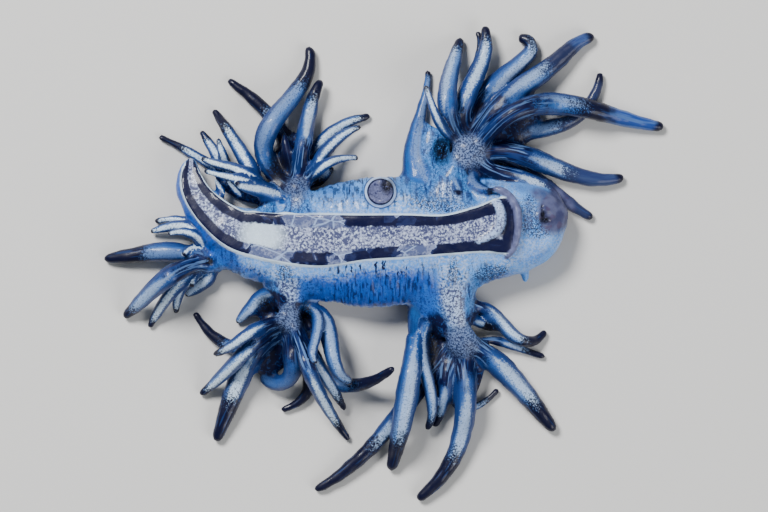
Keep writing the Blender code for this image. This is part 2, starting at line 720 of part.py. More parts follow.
def build_body(model, foot_cutter, seats):
    """The lengths of the trunk, each cut away for what sits in it, and the lengths of the foot."""
    for name, (start, end) in BODY_LENGTHS.items():
        piece = body_length(name, start, end, model)
        combine(piece, [foot_cutter, *seats.get(name, ())], "DIFFERENCE")
        keep_largest(piece)
        paint(piece, HEAD_BLUE if name == "head" else FLANK_BLUE, 0.3)
    for name, (start, end) in FOOT_LENGTHS.items():
        paint(foot_length(name, start, end, model), SOLE_SILVER, 0.35)


def fingers(side, on_arm, spots, tools, extra=0.0):
    """The tubes of the cerata that belong to an arm, or of those that belong to its palm."""
    return [
        ceras_tube(f"ceras_{side}_{k}", row, tools, extra)
        for k, (ceras, row) in enumerate(zip(CERATA[side], spots))
        if (ceras.stem == "arm") == on_arm
    ]


def build_arm(side, arm, spots, model, tools, cutters):
    """One arm with the cerata of its edges, cut clear of the trunk and the foot."""
    stalk = arm_loft("arm_" + side, arm, model)
    edge = fingers(side, True, spots, tools)
    if side in FLAPS:
        edge.append(arm_loft("flap", FLAPS[side], tools))
    edge.extend(web_solid(web, tools) for web in ARM_WEBS.get(side, ()))
    combine(stalk, edge, "UNION")
    remove(edge)
    combine(stalk, cutters, "DIFFERENCE")
    keep_largest(stalk)
    paint(stalk, FLANK_BLUE, 0.3)


def build_crown(side, arm, spots, model, tools, cutters):
    """One palm with its fan of cerata, cut clear of the arm, the trunk and the foot."""
    crown = palm_solid("cerata_" + side, arm, model)
    joined = fingers(side, False, spots, tools)
    cleared = []
    if side in SHORT_ARMS:
        joined.append(arm_loft("short_arm", arm, tools))
    else:
        cleared.append(arm_loft("arm_cutter", arm, tools, GAP))
        cleared.extend(fingers(side, True, spots, tools, GAP))
    if side in FLAPS:
        cleared.append(arm_loft("flap_cutter", FLAPS[side], tools, GAP))
    cleared.extend(web_solid(web, tools, GAP) for web in ARM_WEBS.get(side, ()))
    joined.extend(web_solid(web, tools) for web in WEBS.get(side, ()))
    combine(crown, joined, "UNION")
    remove(joined)
    combine(crown, [*cleared, *cutters], "DIFFERENCE")
    remove(cleared)
    keep_largest(crown)
    paint(crown, CERATA_BLUE, 0.28)


def build_feelers(spots, model, tools, cutters):
    """The oral tentacles and the rhinophores, short cones at the head."""
    profile = ((0.0, 1.0), (0.5, 0.95), (0.8, 0.75), (0.95, 0.5), (1.0, 0.25))
    for name, feeler in FEELERS.items():
        angle = math.radians(feeler.bearing)
        stations = []
        for t, share in profile:
            x = feeler.x + math.cos(angle) * feeler.length * t
            y = feeler.y + math.sin(angle) * feeler.length * t
            stations.append((x, y, feeler.height, feeler.girth * share))
        piece = tube(name, stations, model)
        side, across = CROSSING.get(name, ("", ()))
        crossing = [ceras_tube("crossing", spots[side][k], tools, GAP) for k in across]
        combine(piece, [*crossing, *cutters], "DIFFERENCE")
        remove(crossing)
        keep_largest(piece)
        paint(piece, FEELER_TEAL, 0.3)


def ring_solid(name, place, radius, thickness, turn, collection):
    """A ring of flesh, as a torus turned and set at a place."""
    bpy.ops.mesh.primitive_torus_add(
        major_segments=20,
        minor_segments=8,
        major_radius=radius * MM,
        minor_radius=thickness * MM,
    )
    ring = bpy.context.active_object
    for old in list(ring.users_collection):
        old.objects.unlink(ring)
    collection.objects.link(ring)
    ring.name = name
    ring.data.transform(Matrix.Translation(point(*place)) @ turn)
    return ring


def lips_ring(name, collection, extra=0.0):
    """The lips, an oval ring round the mouth."""
    narrow = Matrix.Diagonal((1.0, LIPS_NARROWING, 1.0, 1.0))
    facing = Matrix.Rotation(math.radians(LIPS_LEAN), 4, "Y") @ narrow
    return ring_solid(name, LIPS_PLACE, LIPS_RADIUS, LIPS_THICKNESS + extra, facing, collection)


def papilla_ring(name, collection, extra=0.0):
    """The rim of the round papilla on the right flank."""
    leaning = Matrix.Rotation(math.radians(-PAPILLA_LEAN), 4, "X")
    thickness = PAPILLA_THICKNESS + extra
    return ring_solid(name, PAPILLA_PLACE, PAPILLA_RADIUS, thickness, leaning, collection)


def main():
    clear_scene()
    model = bpy.data.collections.new("blue_dragon_sea_slug")
    tools = bpy.data.collections.new("cutters")
    tools.hide_render = True
    for collection in (model, tools):
        bpy.context.scene.collection.children.link(collection)
    cutters = body_cutters(tools)
    seats = {
        "head": [lips_ring("lips_cutter", tools, GAP)],
        "trunk_middle": [papilla_ring("papilla_cutter", tools, GAP)],
    }
    build_body(model, cutters[1], seats)
    spots = lay_all()
    for side, arm in ARMS.items():
        if side not in SHORT_ARMS:
            build_arm(side, arm, spots[side], model, tools, cutters)
        build_crown(side, arm, spots[side], model, tools, cutters)
    build_feelers(spots, model, tools, cutters)
    paint(lips_ring("lips", model), HEAD_BLUE, 0.3)
    paint(papilla_ring("genital_papilla", model), SOLE_SILVER, 0.3)
    for cutter in tools.objects:
        cutter.hide_render = True
        cutter.display_type = "WIRE"


main()
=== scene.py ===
import json
import math
from collections import namedtuple

import bmesh
import bpy
import numpy as np
from mathutils import Matrix, Vector


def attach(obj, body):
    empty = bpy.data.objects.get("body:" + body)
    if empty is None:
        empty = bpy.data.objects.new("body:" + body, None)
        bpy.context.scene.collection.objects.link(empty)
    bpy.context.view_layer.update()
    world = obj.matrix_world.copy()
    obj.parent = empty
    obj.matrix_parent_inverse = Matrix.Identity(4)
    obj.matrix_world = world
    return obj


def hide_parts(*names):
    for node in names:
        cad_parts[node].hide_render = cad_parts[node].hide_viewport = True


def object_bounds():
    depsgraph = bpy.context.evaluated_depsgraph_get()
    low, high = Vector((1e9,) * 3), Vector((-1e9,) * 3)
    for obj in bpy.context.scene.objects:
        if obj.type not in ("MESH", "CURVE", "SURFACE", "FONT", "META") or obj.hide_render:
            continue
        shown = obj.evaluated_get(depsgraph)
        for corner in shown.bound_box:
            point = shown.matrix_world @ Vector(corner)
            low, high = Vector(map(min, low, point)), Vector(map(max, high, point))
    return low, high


bl_info = {
    "name": "Blue Dragon Sea Slug",
    "version": (1, 0, 0),
    "blender": (4, 5, 0),
    "location": "3D View > Sidebar > Sea Slug",
    "description": "Adds a wet blue dragon sea slug, stranded on its back, over its solid model",
    "category": "Add Mesh",
}

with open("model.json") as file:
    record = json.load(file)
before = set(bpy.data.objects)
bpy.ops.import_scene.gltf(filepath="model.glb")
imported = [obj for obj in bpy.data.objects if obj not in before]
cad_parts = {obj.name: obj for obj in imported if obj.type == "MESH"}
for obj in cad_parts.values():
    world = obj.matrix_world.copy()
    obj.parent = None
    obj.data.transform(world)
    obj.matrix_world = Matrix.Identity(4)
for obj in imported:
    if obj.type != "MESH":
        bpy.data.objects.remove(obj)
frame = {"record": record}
CAD_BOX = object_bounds()

# Lengths in the tables are millimetres in the plan of the solid model, angles are degrees. The
# head points to +X, the animal's right side is at +Y and its foot faces +Z.
MM = 0.001
GAP = 0.3
ORIGIN = (0.0, 0.0, 0.0)
# Moves the drawing so that its footprint is centred on the origin
CENTRE = (0.0, 0.03)

# Cross-sections of the trunk, from the snout to the tail's tip: x, y, half the width, and the
# heights of the back, which lies on the floor, and of the belly. A back below the floor is
# pressed flat.
BODY_LINE = (
    (13.75, 3.3, 0.5, 1.2, 2.2), (13.2, 3.3, 1.6, 0.9, 2.8), (12.3, 3.2, 2.55, 0.85, 3.3),
    (11.0, 2.95, 3.2, 0.0, 3.7), (9.4, 2.6, 3.5, -0.35, 4.0), (7.6, 2.3, 3.7, -0.35, 4.1),
    (5.7, 1.9, 3.95, -0.35, 4.2), (3.4, 1.7, 4.4, -0.35, 4.4), (1.2, 1.65, 4.8, -0.35, 4.5),
    (-1.1, 1.5, 4.85, -0.35, 4.5), (-3.3, 1.4, 4.55, -0.35, 4.4), (-5.6, 1.1, 3.9, -0.35, 4.2),
    (-7.1, 1.2, 3.35, -0.35, 4.0), (-8.6, 1.3, 2.95, -0.35, 3.8), (-10.1, 1.6, 2.6, -0.35, 3.6),
    (-11.9, 2.6, 1.95, -0.35, 3.3), (-13.0, 3.65, 1.55, -0.35, 3.0), (-13.8, 4.5, 1.4, -0.3, 2.8),
    (-14.4, 5.5, 1.15, -0.2, 2.6), (-14.55, 6.3, 1.0, 0.1, 2.4), (-14.5, 7.0, 0.75, 0.6, 2.3),
    (-14.4, 7.55, 0.42, 1.1, 2.2), (-14.4, 7.85, 0.15, 1.5, 2.1),
)
# The foot along its own line on the belly: x, y, half its width and its thickness
FOOT_LINE = (
    (10.15, 2.8, 1.0, 0.6), (9.2, 2.8, 2.1, 0.8), (7.2, 2.5, 1.7, 0.8), (4.6, 2.1, 1.45, 0.8),
    (1.6, 2.0, 1.6, 0.8), (-1.4, 1.9, 1.7, 0.8), (-4.4, 1.7, 1.95, 0.8), (-6.8, 1.8, 1.95, 0.8),
    (-9.1, 2.1, 1.8, 0.75), (-11.0, 2.5, 1.55, 0.7), (-12.7, 3.7, 1.3, 0.65), (-13.9, 5.1, 1.05, 0.6),
    (-14.4, 6.4, 0.8, 0.55), (-14.4, 7.3, 0.45, 0.5),
)
FOOT_PROUD = 0.25
FOOT_RIM = 0.12
FOOT_HOLLOW = 0.1
FOOT_BOXY = (0.7, 0.6)
# An arm runs from inside the trunk over a point on its way to its palm, the knob that bears cerata
Arm = namedtuple("Arm", "root via palm root_half palm_half root_high palm_high palm_radius")
ARMS = {
    "front_right": Arm((4.5, 3.5), (4.6, 6.0), (6.3, 8.3), 3.0, 1.1, 3.9, 3.1, 1.25),
    "front_left": Arm((4.2, -0.5), (4.6, -3.2), (5.85, -5.8), 3.3, 1.75, 3.9, 3.0, 1.25),
    "middle_right": Arm((-6.3, 3.0), (-6.4, 4.4), (-6.5, 5.45), 1.6, 0.85, 3.6, 2.9, 0.95),
    "middle_left": Arm((-6.8, -0.3), (-7.0, -2.4), (-7.05, -4.15), 2.5, 1.2, 3.6, 2.8, 1.0),
    "rear_right": Arm((-8.7, 2.8), (-8.7, 4.0), (-8.6, 4.8), 1.1, 0.7, 3.2, 2.6, 0.8),
    "rear_left": Arm((-10.2, 0.8), (-11.7, 0.2), (-13.0, 0.05), 1.2, 0.75, 3.0, 2.4, 0.75),
}
# The broad flap of flesh beside an arm, from the trunk to where its edge ceras stands
FLAPS = {
    "front_right": Arm((3.3, 3.5), (2.9, 7.0), (4.3, 10.2), 2.7, 1.2, 3.6, 1.7, 0.3),
}
# The low webs of flesh at the roots of the fans and between an arm and the cerata of its edges,
# painted dark both as navy flesh and as painted shade between the cerata: middle, half sizes,
# height and bearing of each
Web = namedtuple("Web", "x y long wide high bearing")
WEBS = (
    Web(8.7, 10.4, 3.5, 2.5, 0.95, 40.0), Web(7.3, 7.0, 1.3, 0.9, 1.1, -40.0),
    Web(5.6, -8.0, 2.7, 1.9, 0.9, 90.0), Web(-6.8, 7.6, 2.3, 1.4, 0.85, 95.0),
    Web(-8.3, -6.1, 2.5, 1.9, 0.85, 60.0), Web(-10.7, 5.5, 2.2, 0.85, 0.6, 155.0),
    Web(3.7, -5.9, 2.0, 0.9, 0.8, 84.0), Web(7.5, -4.5, 1.2, 0.55, 0.7, -20.0),
    Web(-8.6, -3.0, 1.6, 0.8, 0.8, 35.0), Web(-5.7, -4.1, 1.7, 0.9, 0.8, 95.0),
)
ARM_STEPS = 7
ARM_LOW = 0.25
ARM_END_SHORT = 0.75
PALM_FLATNESS = 0.72
# The cerata, the finger-like lobes of the arms. Each is seen from above as a chord from root to
# tip that bows to its left by near at a third and by far at two thirds, and its end may turn by
# curl. Girth is its largest radius, reached at full, and end is the tip's share of it. A ceras
# grows from the palm unless its stem is the arm's side or, for a branch, another ceras. Each list
# runs from the lowest, on the floor, to the topmost.
Ceras = namedtuple(
    "Ceras",
    "root tip near far girth stem curl curl_from full taper end",
    defaults=("palm", 0.0, 0.8, 0.38, 0.7, 0.42),
)
CERATA = {
    "front_right": (
        Ceras((7.0, 8.7), (16.25, 14.3), -0.9, -1.95, 0.67),
        Ceras((7.3, 7.9), (15.7, 3.35), 0.75, 0.3, 0.48, full=0.75, end=0.6),
        Ceras((6.0, 9.1), (7.0, 17.4), 0.7, -0.15, 0.43),
        Ceras((6.6, 9.1), (11.9, 17.3), 1.05, 0.25, 0.83, curl=140),
        Ceras((6.2, 9.2), (7.5, 17.75), 0.55, -0.22, 0.74),
        Ceras((3.6, 5.0), (3.3, 14.45), 1.2, 0.6, 1.3, "arm", full=0.12, taper=2.0, end=0.2),
        Ceras((5.7, 9.0), (5.8, 16.9), 1.0, 0.75, 0.76), Ceras((5.4, 8.9), (3.1, 13.2), 0.4, 0.3, 0.37),
        Ceras((7.1, 8.2), (18.0, 6.45), 0.3, -0.45, 0.8),
        Ceras((6.9, 9.0), (15.1, 17.8), 0.5, -0.2, 0.87, curl=-50),
        Ceras((7.1, 8.7), (21.0, 10.2), 2.6, 1.6, 0.86),
        Ceras((7.2, 7.6), (13.3, 2.7), 0.65, 1.45, 0.62, curl=-40),
        Ceras((5.5, 7.6), (5.6, 5.4), -0.5, -0.3, 0.36), Ceras((6.5, 7.6), (8.0, 5.4), -0.7, -0.7, 0.52),
    ),
    "front_left": (
        Ceras((5.2, -6.1), (-5.2, -17.05), 0.5, 0.85, 0.7),
        Ceras((6.1, -6.6), (8.9, -10.0), -1.9, -3.0, 0.45, curl=25),
        Ceras((6.7, -5.8), (12.1, -7.05), 0.33, 0.17, 0.35),
        Ceras((5.4, -6.4), (3.7, -12.3), -0.15, 0.18, 0.55),
        Ceras((6.0, -6.5), (2.5, -17.75), 1.35, 1.65, 0.82, full=0.3),
        Ceras((6.6, -6.1), (12.8, -12.6), 0.4, 0.3, 0.92, full=0.3),
        Ceras((6.4, -3.2), (12.4, -5.4), -0.15, -1.05, 0.59, "arm", curl=30),
        Ceras((6.4, -4.2), (7.8, -4.75), 0.0, 0.0, 0.35, "arm"),
        Ceras((3.2, -2.2), (2.2, -6.4), -0.3, -0.15, 0.9, "arm", full=0.15, taper=1.0),
        Ceras((4.0, -3.4), (3.2, -12.55), -0.9, 0.0, 0.58, "arm"),
        Ceras((2.3, -5.4), (0.5, -15.6), 0.2, 0.2, 0.87, "arm", full=0.45),
    ),
    "middle_right": (
        Ceras((-6.8, 6.0), (-11.7, 13.7), -1.2, -1.05, 0.62),
        Ceras((-6.7, 6.3), (-7.5, 9.9), 0.05, 0.05, 0.5), Ceras((-5.8, 5.7), (-3.8, 7.2), -0.1, -0.1, 0.47),
        Ceras((-6.1, 6.2), (-1.0, 11.0), 0.95, 1.0, 0.56),
        Ceras((-7.2, 5.6), (-5.7, 16.25), 2.15, 0.4, 0.8),
        Ceras((-6.4, 6.2), (-4.7, 13.7), 0.2, 0.33, 0.69),
        Ceras((-6.0, 5.9), (-1.7, 10.2), 0.4, 0.58, 0.51), Ceras((-5.9, 5.6), (-1.9, 7.8), 0.63, 0.7, 0.41),
    ),
    "middle_left": (
        Ceras((-7.3, -4.5), (-14.2, -3.7), 2.05, 2.0, 0.55),
        Ceras((-6.6, -4.9), (-7.7, -11.05), 0.95, 1.75, 0.55),
        Ceras((-6.4, -4.8), (0.8, -7.8), -2.3, -2.6, 0.66),
        Ceras((-7.0, -4.7), (-6.5, -11.3), 0.0, 0.0, 0.75, curl=-165, curl_from=0.45),
        Ceras((-7.2, -4.7), (-12.6, -13.4), -1.0, -0.7, 0.81, full=0.55),
        Ceras((-7.4, -4.5), (-13.8, -9.9), -0.27, -0.06, 0.62),
        Ceras((-7.6, -4.2), (-12.7, -6.85), -0.25, -0.02, 0.52),
        Ceras((-7.4, -2.4), (-11.1, -4.5), -0.7, -0.37, 0.62, "arm"),
        Ceras((-6.5, -4.5), (-2.9, -11.0), -0.1, -0.05, 0.56),
        Ceras((-6.7, -4.8), (-2.6, -13.3), -0.35, -0.4, 0.56),
        Ceras((-6.6, -3.2), (-2.3, -8.95), 1.0, -0.05, 0.7, "arm"),
        Ceras((-6.6, -3.2), (-5.0, -7.5), 1.2, 0.35, 0.5, "arm"),
    ),
    "rear_right": (
        Ceras((-9.0, 5.0), (-16.9, 9.5), 0.0, -0.1, 0.43),
        Ceras((-12.0, 6.6), (-13.7, 9.95), -0.2, -0.1, 0.45, "branch"),
        Ceras((-11.2, 6.2), (-12.4, 9.3), 0.1, 0.1, 0.4, "branch"),
        Ceras((-9.1, 5.3), (-12.8, 11.5), -0.17, -0.15, 0.58),
        Ceras((-8.6, 5.2), (-13.7, 7.85), -0.55, -0.3, 0.47),
        Ceras((-8.3, 5.0), (-13.4, 6.9), -0.35, -0.17, 0.45),
        Ceras((-7.5, 4.7), (-11.0, 5.8), -0.2, -0.1, 0.69, full=0.3),
        Ceras((-10.6, 4.9), (-11.7, 6.2), 0.0, 0.0, 0.38, "branch"),
        Ceras((-11.9, 5.1), (-12.7, 6.4), 0.0, 0.0, 0.35, "branch"),
    ),
    "rear_left": (
        Ceras((-13.5, 0.7), (-17.2, 3.1), -1.2, -1.1, 0.38),
        Ceras((-12.7, 0.0), (-14.9, -2.5), 0.4, 0.25, 0.58),
        Ceras((-13.4, 0.5), (-17.5, 2.3), -1.4, -1.15, 0.5),
        Ceras((-13.3, 0.4), (-16.1, 2.15), -0.85, -0.85, 0.41),
        Ceras((-13.2, -0.3), (-15.6, -3.85), -0.75, -0.65, 0.5),
        Ceras((-13.3, -0.2), (-17.6, -4.9), -0.5, -0.45, 0.54),
        Ceras((-13.1, -0.2), (-14.3, -1.8), -0.4, -0.35, 0.41),
        Ceras((-13.4, 0.3), (-21.0, 0.3), -0.53, -0.33, 0.74),
        Ceras((-13.4, 0.0), (-19.5, -4.1), -0.6, -0.38, 0.74),
        Ceras((-13.3, 0.6), (-15.0, 0.55), -0.55, -0.5, 0.31),
    ),
}
CERAS_ROOT_SHARE = 0.68
CERAS_LEAST_RADIUS = 0.25
LAY_POINTS = 33
FLOOR_CLEARANCE = 0.04
DROOP_LOWEST = 3.5
DROOP_HIGHEST = 1.5
ROOT_LOWEST = 0.45
ROOT_HIGHEST = 0.75
FREE_OVER = 2.2
STEEPEST = 0.9
SMOOTHINGS = 6
OVERHANG = 0.7
# Cross-sections: how square they are, where on their height they are widest, and the share of
# their half width that bears what lies on them
BOXY = 0.86
WIDEST_AT = 0.45
COVERS = 0.97

# The oral tentacles and rhinophores, left and right: where each stands, its bearing, length and
# girth, and its height
Feeler = namedtuple("Feeler", "x y bearing length girth height")
FEELERS = (
    Feeler(10.45, 0.2, -85, 1.65, 0.38, 1.1), Feeler(11.3, 5.0, 55, 1.5, 0.3, 1.95),
    Feeler(11.7, 2.1, -20, 1.5, 0.26, 0.3), Feeler(11.9, 4.0, 5, 1.5, 0.26, 0.3),
)
LIPS_PLACE = (12.05, 3.5, 3.35)
LIPS_RADIUS = 0.6
LIPS_NARROWING = 0.75
LIPS_THICKNESS = 0.28
LIPS_LEAN = 24.0
PAPILLA_PLACE = (-0.25, 5.3, 3.75)
PAPILLA_RADIUS = 1.0
PAPILLA_THICKNESS = 0.27
PAPILLA_LEAN = 42.0

# How finely the forms are made before they are melted into one skin, and how the ends of cerata
# and feelers are drawn in
RINGS_PER_STATION = 6
TRUNK_SIDES = 48
FOOT_SIDES = 48
ARM_SIDES = 40
ARM_RINGS = 24
TUBE_RESOLUTION = 3
RING_STATIONS = 40
RING_OVERLAP = 2
TIP_LENGTH = 0.8
TIP_ROUND = ((0.7, 0.97), (0.45, 0.85), (0.2, 0.6), (0.04, 0.25))
CHUNK = 4000
ARM_SAMPLES = 30
SAMPLES_PER_STATION = 12
TRIES_PER_STATION = 8
RIPPLE_WAVES = 6
FEELER_TAPER = ((0.0, 1.0), (0.3, 1.0), (0.5, 0.95), (0.8, 0.75), (0.95, 0.5), (1.0, 0.25))
BALL_SIDES = 40
BALL_RINGS = 24

# The stage: the floor's half size in metres, the picture's middle from the origin in millimetres,
# each light's place, size and power in metres and watts, and the sky's strength
FLOOR_SIZE = 1.0
PICTURE_SHIFT = (0.01, 0.54)
LIGHTS = (
    ("key", (-0.16, 0.2, 0.3), 0.14, 2.3),
    ("fill", (0.28, -0.2, 0.25), 0.3, 1.1),
)
SKY_STRENGTH = 0.22
# How much of the solid lips stands proud of the skin
LIPS_SHARE = 0.55
# What the softening takes off the cerata is put back, in millimetres
PLUMP = 0.05
# The most that a fold lies under the trunk's top
FOLD_DIP = 0.3
# Rounds of softening for the whole skin and for where flesh joins flesh
SOFT_ROUNDS = 3
JOIN_ROUNDS = 22
# The length of the folds across the flanks
FOLD_WAVE = 0.62
# Where along X the folds give way to the smooth head
SMOOTH_HEAD = (7.8, 9.3)
# How far outside a ceras its colours begin to fade and end
CERAS_EDGE = (0.1, 0.24)
# Shifts of the fine patterns, so that no two cerata and no two flanks carry the same one
CERAS_SHIFT = 3.7
FLANK_SHIFT = 5.0
# The marks that tell where on the trunk and on the foot a point lies, and how much painted reflection lies
# on the foot's borders
BODY_MARKS = ("sole", "across", "place", "down", "trunk", "out", "rim", "foot_sheen")

# How each ceras is coloured: the share of it that is dark from the root, how pale its middle is,
# where its tip turns dark, how white its stripe is, a stripe that is partly its pale colour and
# partly a painted highlight, how bright a blue shows, on which side the stripe runs, the side that
# the painted light falls on, to its left if positive, how grey and glassy the tip is, and where a
# dark end clears to a translucent blue, past the tip if never
Paint = namedtuple(
    "Paint", "rooted pale tipped white azure banded glassy clear", defaults=(0.0, 0.0, 2.0)
)
PAINTS = {
    "front_right": (
        Paint(0.3, 0.4, 0.55, 0.1, 0.1, glassy=0.8), Paint(0.5, 0.3, 0.45, 0.0, 0.0, glassy=1.0),
        Paint(0.35, 0.5, 0.78, 0.2, 0.1), Paint(0.3, 0.45, 0.84, 0.35, 0.6, banded=-0.3),
        Paint(0.25, 0.6, 0.84, 0.6, 0.3, banded=0.1), Paint(0.0, 0.15, 0.95, 0.15, 1.0, banded=-0.3),
        Paint(0.25, 0.5, 0.84, 0.4, 0.6, banded=0.4), Paint(0.15, 0.6, 0.88, 0.7, 0.3),
        Paint(0.32, 0.7, 0.56, 0.35, 0.1, banded=0.1, glassy=1.0, clear=0.66),
        Paint(0.25, 0.45, 0.6, 0.3, 0.5, banded=0.3, glassy=0.6, clear=0.85),
        Paint(0.3, 0.15, 0.52, 0.2, 1.0, banded=0.4, clear=0.7),
        Paint(0.35, 0.7, 0.6, 0.55, 0.0, banded=0.2, glassy=1.0), Paint(0.0, 0.3, 1.1, 0.15, 1.0),
        Paint(0.05, 0.0, 0.95, 0.12, 0.2, banded=0.2),
    ),
    "front_left": (
        Paint(0.4, 0.6, 0.58, 0.4, 0.1, banded=0.2), Paint(0.5, 0.75, 0.9, 0.3, 0.3),
        Paint(0.3, 0.5, 0.7, 0.3, 0.1), Paint(0.4, 0.6, 0.8, 0.3, 0.0),
        Paint(0.15, 0.6, 0.62, 0.4, 0.1, banded=0.1), Paint(0.12, 0.6, 0.66, 0.5, 0.3, banded=0.2),
        Paint(0.15, 0.8, 0.68, 0.6, 0.1, banded=0.4), Paint(0.1, 0.6, 0.7, 0.3, 0.0),
        Paint(0.0, 0.0, 1.1, 0.0, 1.0, banded=-0.4), Paint(0.1, 0.5, 0.86, 0.4, 0.9, banded=0.4),
        Paint(0.0, 0.6, 0.7, 0.4, 0.8, banded=0.2),
    ),
    "middle_right": (
        Paint(0.42, 0.6, 0.55, 0.2, 0.2), Paint(1.0, 0.1, 1.1, 0.0, 0.0), Paint(0.3, 0.7, 0.8, 0.5, 0.3),
        Paint(0.25, 0.9, 0.86, 0.8, 0.1), Paint(0.1, 0.3, 0.68, 0.15, 0.5, banded=0.3),
        Paint(0.3, 0.7, 0.78, 0.5, 0.2, banded=-0.2), Paint(0.2, 0.95, 0.88, 0.9, 0.0),
        Paint(0.2, 0.95, 0.92, 0.9, 0.0),
    ),
    "middle_left": (
        Paint(0.35, 0.3, 0.62, 0.1, 0.9, banded=0.2), Paint(0.4, 0.2, 0.5, 0.0, 0.1),
        Paint(0.1, 0.15, 0.7, 0.1, 0.5, banded=0.3),
        Paint(0.35, 0.2, 1.1, 0.0, 0.1, banded=0.2, glassy=0.3), Paint(0.3, 0.95, 0.64, 0.8, 0.0),
        Paint(0.3, 0.95, 0.84, 0.9, 0.0, banded=0.2), Paint(0.25, 0.9, 0.82, 0.8, 0.0, banded=0.1),
        Paint(0.0, 0.5, 0.94, 0.4, 0.9, banded=0.2), Paint(0.35, 0.7, 0.8, 0.5, 0.0),
        Paint(0.3, 0.9, 0.78, 0.8, 0.0), Paint(0.0, 0.4, 0.93, 0.3, 0.9, banded=0.2),
        Paint(0.0, 0.35, 0.95, 0.3, 0.9, banded=0.3),
    ),
    "rear_right": (
        Paint(0.3, 0.9, 0.74, 0.8, 0.0), Paint(0.0, 0.9, 0.74, 0.8, 0.1), Paint(0.0, 0.9, 0.85, 0.8, 0.1),
        Paint(0.15, 0.9, 0.72, 0.9, 0.0), Paint(0.15, 0.95, 0.92, 1.0, 0.0),
        Paint(0.12, 0.95, 0.95, 1.0, 0.0), Paint(0.0, 0.8, 1.1, 0.8, 0.6, banded=-0.2),
        Paint(0.0, 0.95, 1.1, 1.0, 0.0), Paint(0.0, 0.95, 1.1, 1.0, 0.0),
    ),
    "rear_left": (
        Paint(0.1, 0.95, 0.95, 0.9, 0.1), Paint(0.1, 0.8, 0.9, 0.7, 0.4), Paint(0.1, 0.95, 0.95, 0.9, 0.1),
        Paint(0.1, 0.95, 0.95, 0.9, 0.1), Paint(0.15, 0.95, 0.86, 0.8, 0.2, banded=0.2),
        Paint(0.22, 0.95, 0.84, 0.9, 0.1, banded=0.1), Paint(0.0, 0.9, 1.1, 0.9, 0.1),
        Paint(0.1, 0.25, 0.55, 0.1, 0.5, banded=0.2), Paint(0.3, 0.6, 0.8, 0.3, 0.1),
        Paint(0.0, 0.9, 1.1, 0.8, 0.0),
    ),
}
# How grey and stippled each palm is
PALM_TONES = {"front_right": 1.0, "front_left": 0.8, "middle_right": 0.6, "middle_left": 0.8}
# Dark hollows between the flesh of the arms, pressed in and darkened with painted shade: middle,
# half sizes and depth
Hollow = namedtuple("Hollow", "x y half_x half_y depth")
HOLLOWS = (
    Hollow(4.35, 8.35, 0.7, 1.05, 0.5), Hollow(-8.8, -3.2, 0.75, 0.85, 0.2),
    Hollow(-5.75, -3.9, 0.5, 1.1, 0.2), Hollow(8.0, -5.0, 0.8, 0.55, 0.15),
    Hollow(3.7, -6.3, 0.6, 1.8, 0.2), Hollow(-12.95, 0.1, 0.4, 0.4, 0.15),
    Hollow(-4.8, 6.0, 0.6, 0.6, 0.1), Hollow(-7.9, 7.0, 0.9, 1.3, 0.1),
    Hollow(11.78, 4.1, 0.08, 0.3, 0.15), Hollow(11.85, 3.6, 0.2, 0.32, 0.22),
    Hollow(12.02, 3.2, 0.46, 0.26, 0.25), Hollow(0.3, 5.7, 0.55, 0.6, 0.3),
)

# Folds of the foot: its raised front edge and the lobe behind it, each a row of x, y, radius and
# how proud of the flesh it stands
FOLDS = (
    ((7.9, 5.5, 0.2, 0.1), (8.5, 5.45, 0.27, 0.3), (9.3, 5.05, 0.3, 0.42), (9.85, 4.15, 0.3, 0.5),
     (10.0, 3.0, 0.28, 0.5), (9.9, 1.9, 0.25, 0.45), (9.6, 0.95, 0.2, 0.3), (9.1, 0.4, 0.16, 0.1)),
    ((8.1, 4.8, 0.2, 0.3), (8.55, 4.2, 0.3, 0.4), (8.75, 3.4, 0.32, 0.42), (8.6, 2.6, 0.3, 0.4),
     (8.0, 2.0, 0.22, 0.3), (7.0, 1.6, 0.16, 0.2)),
)
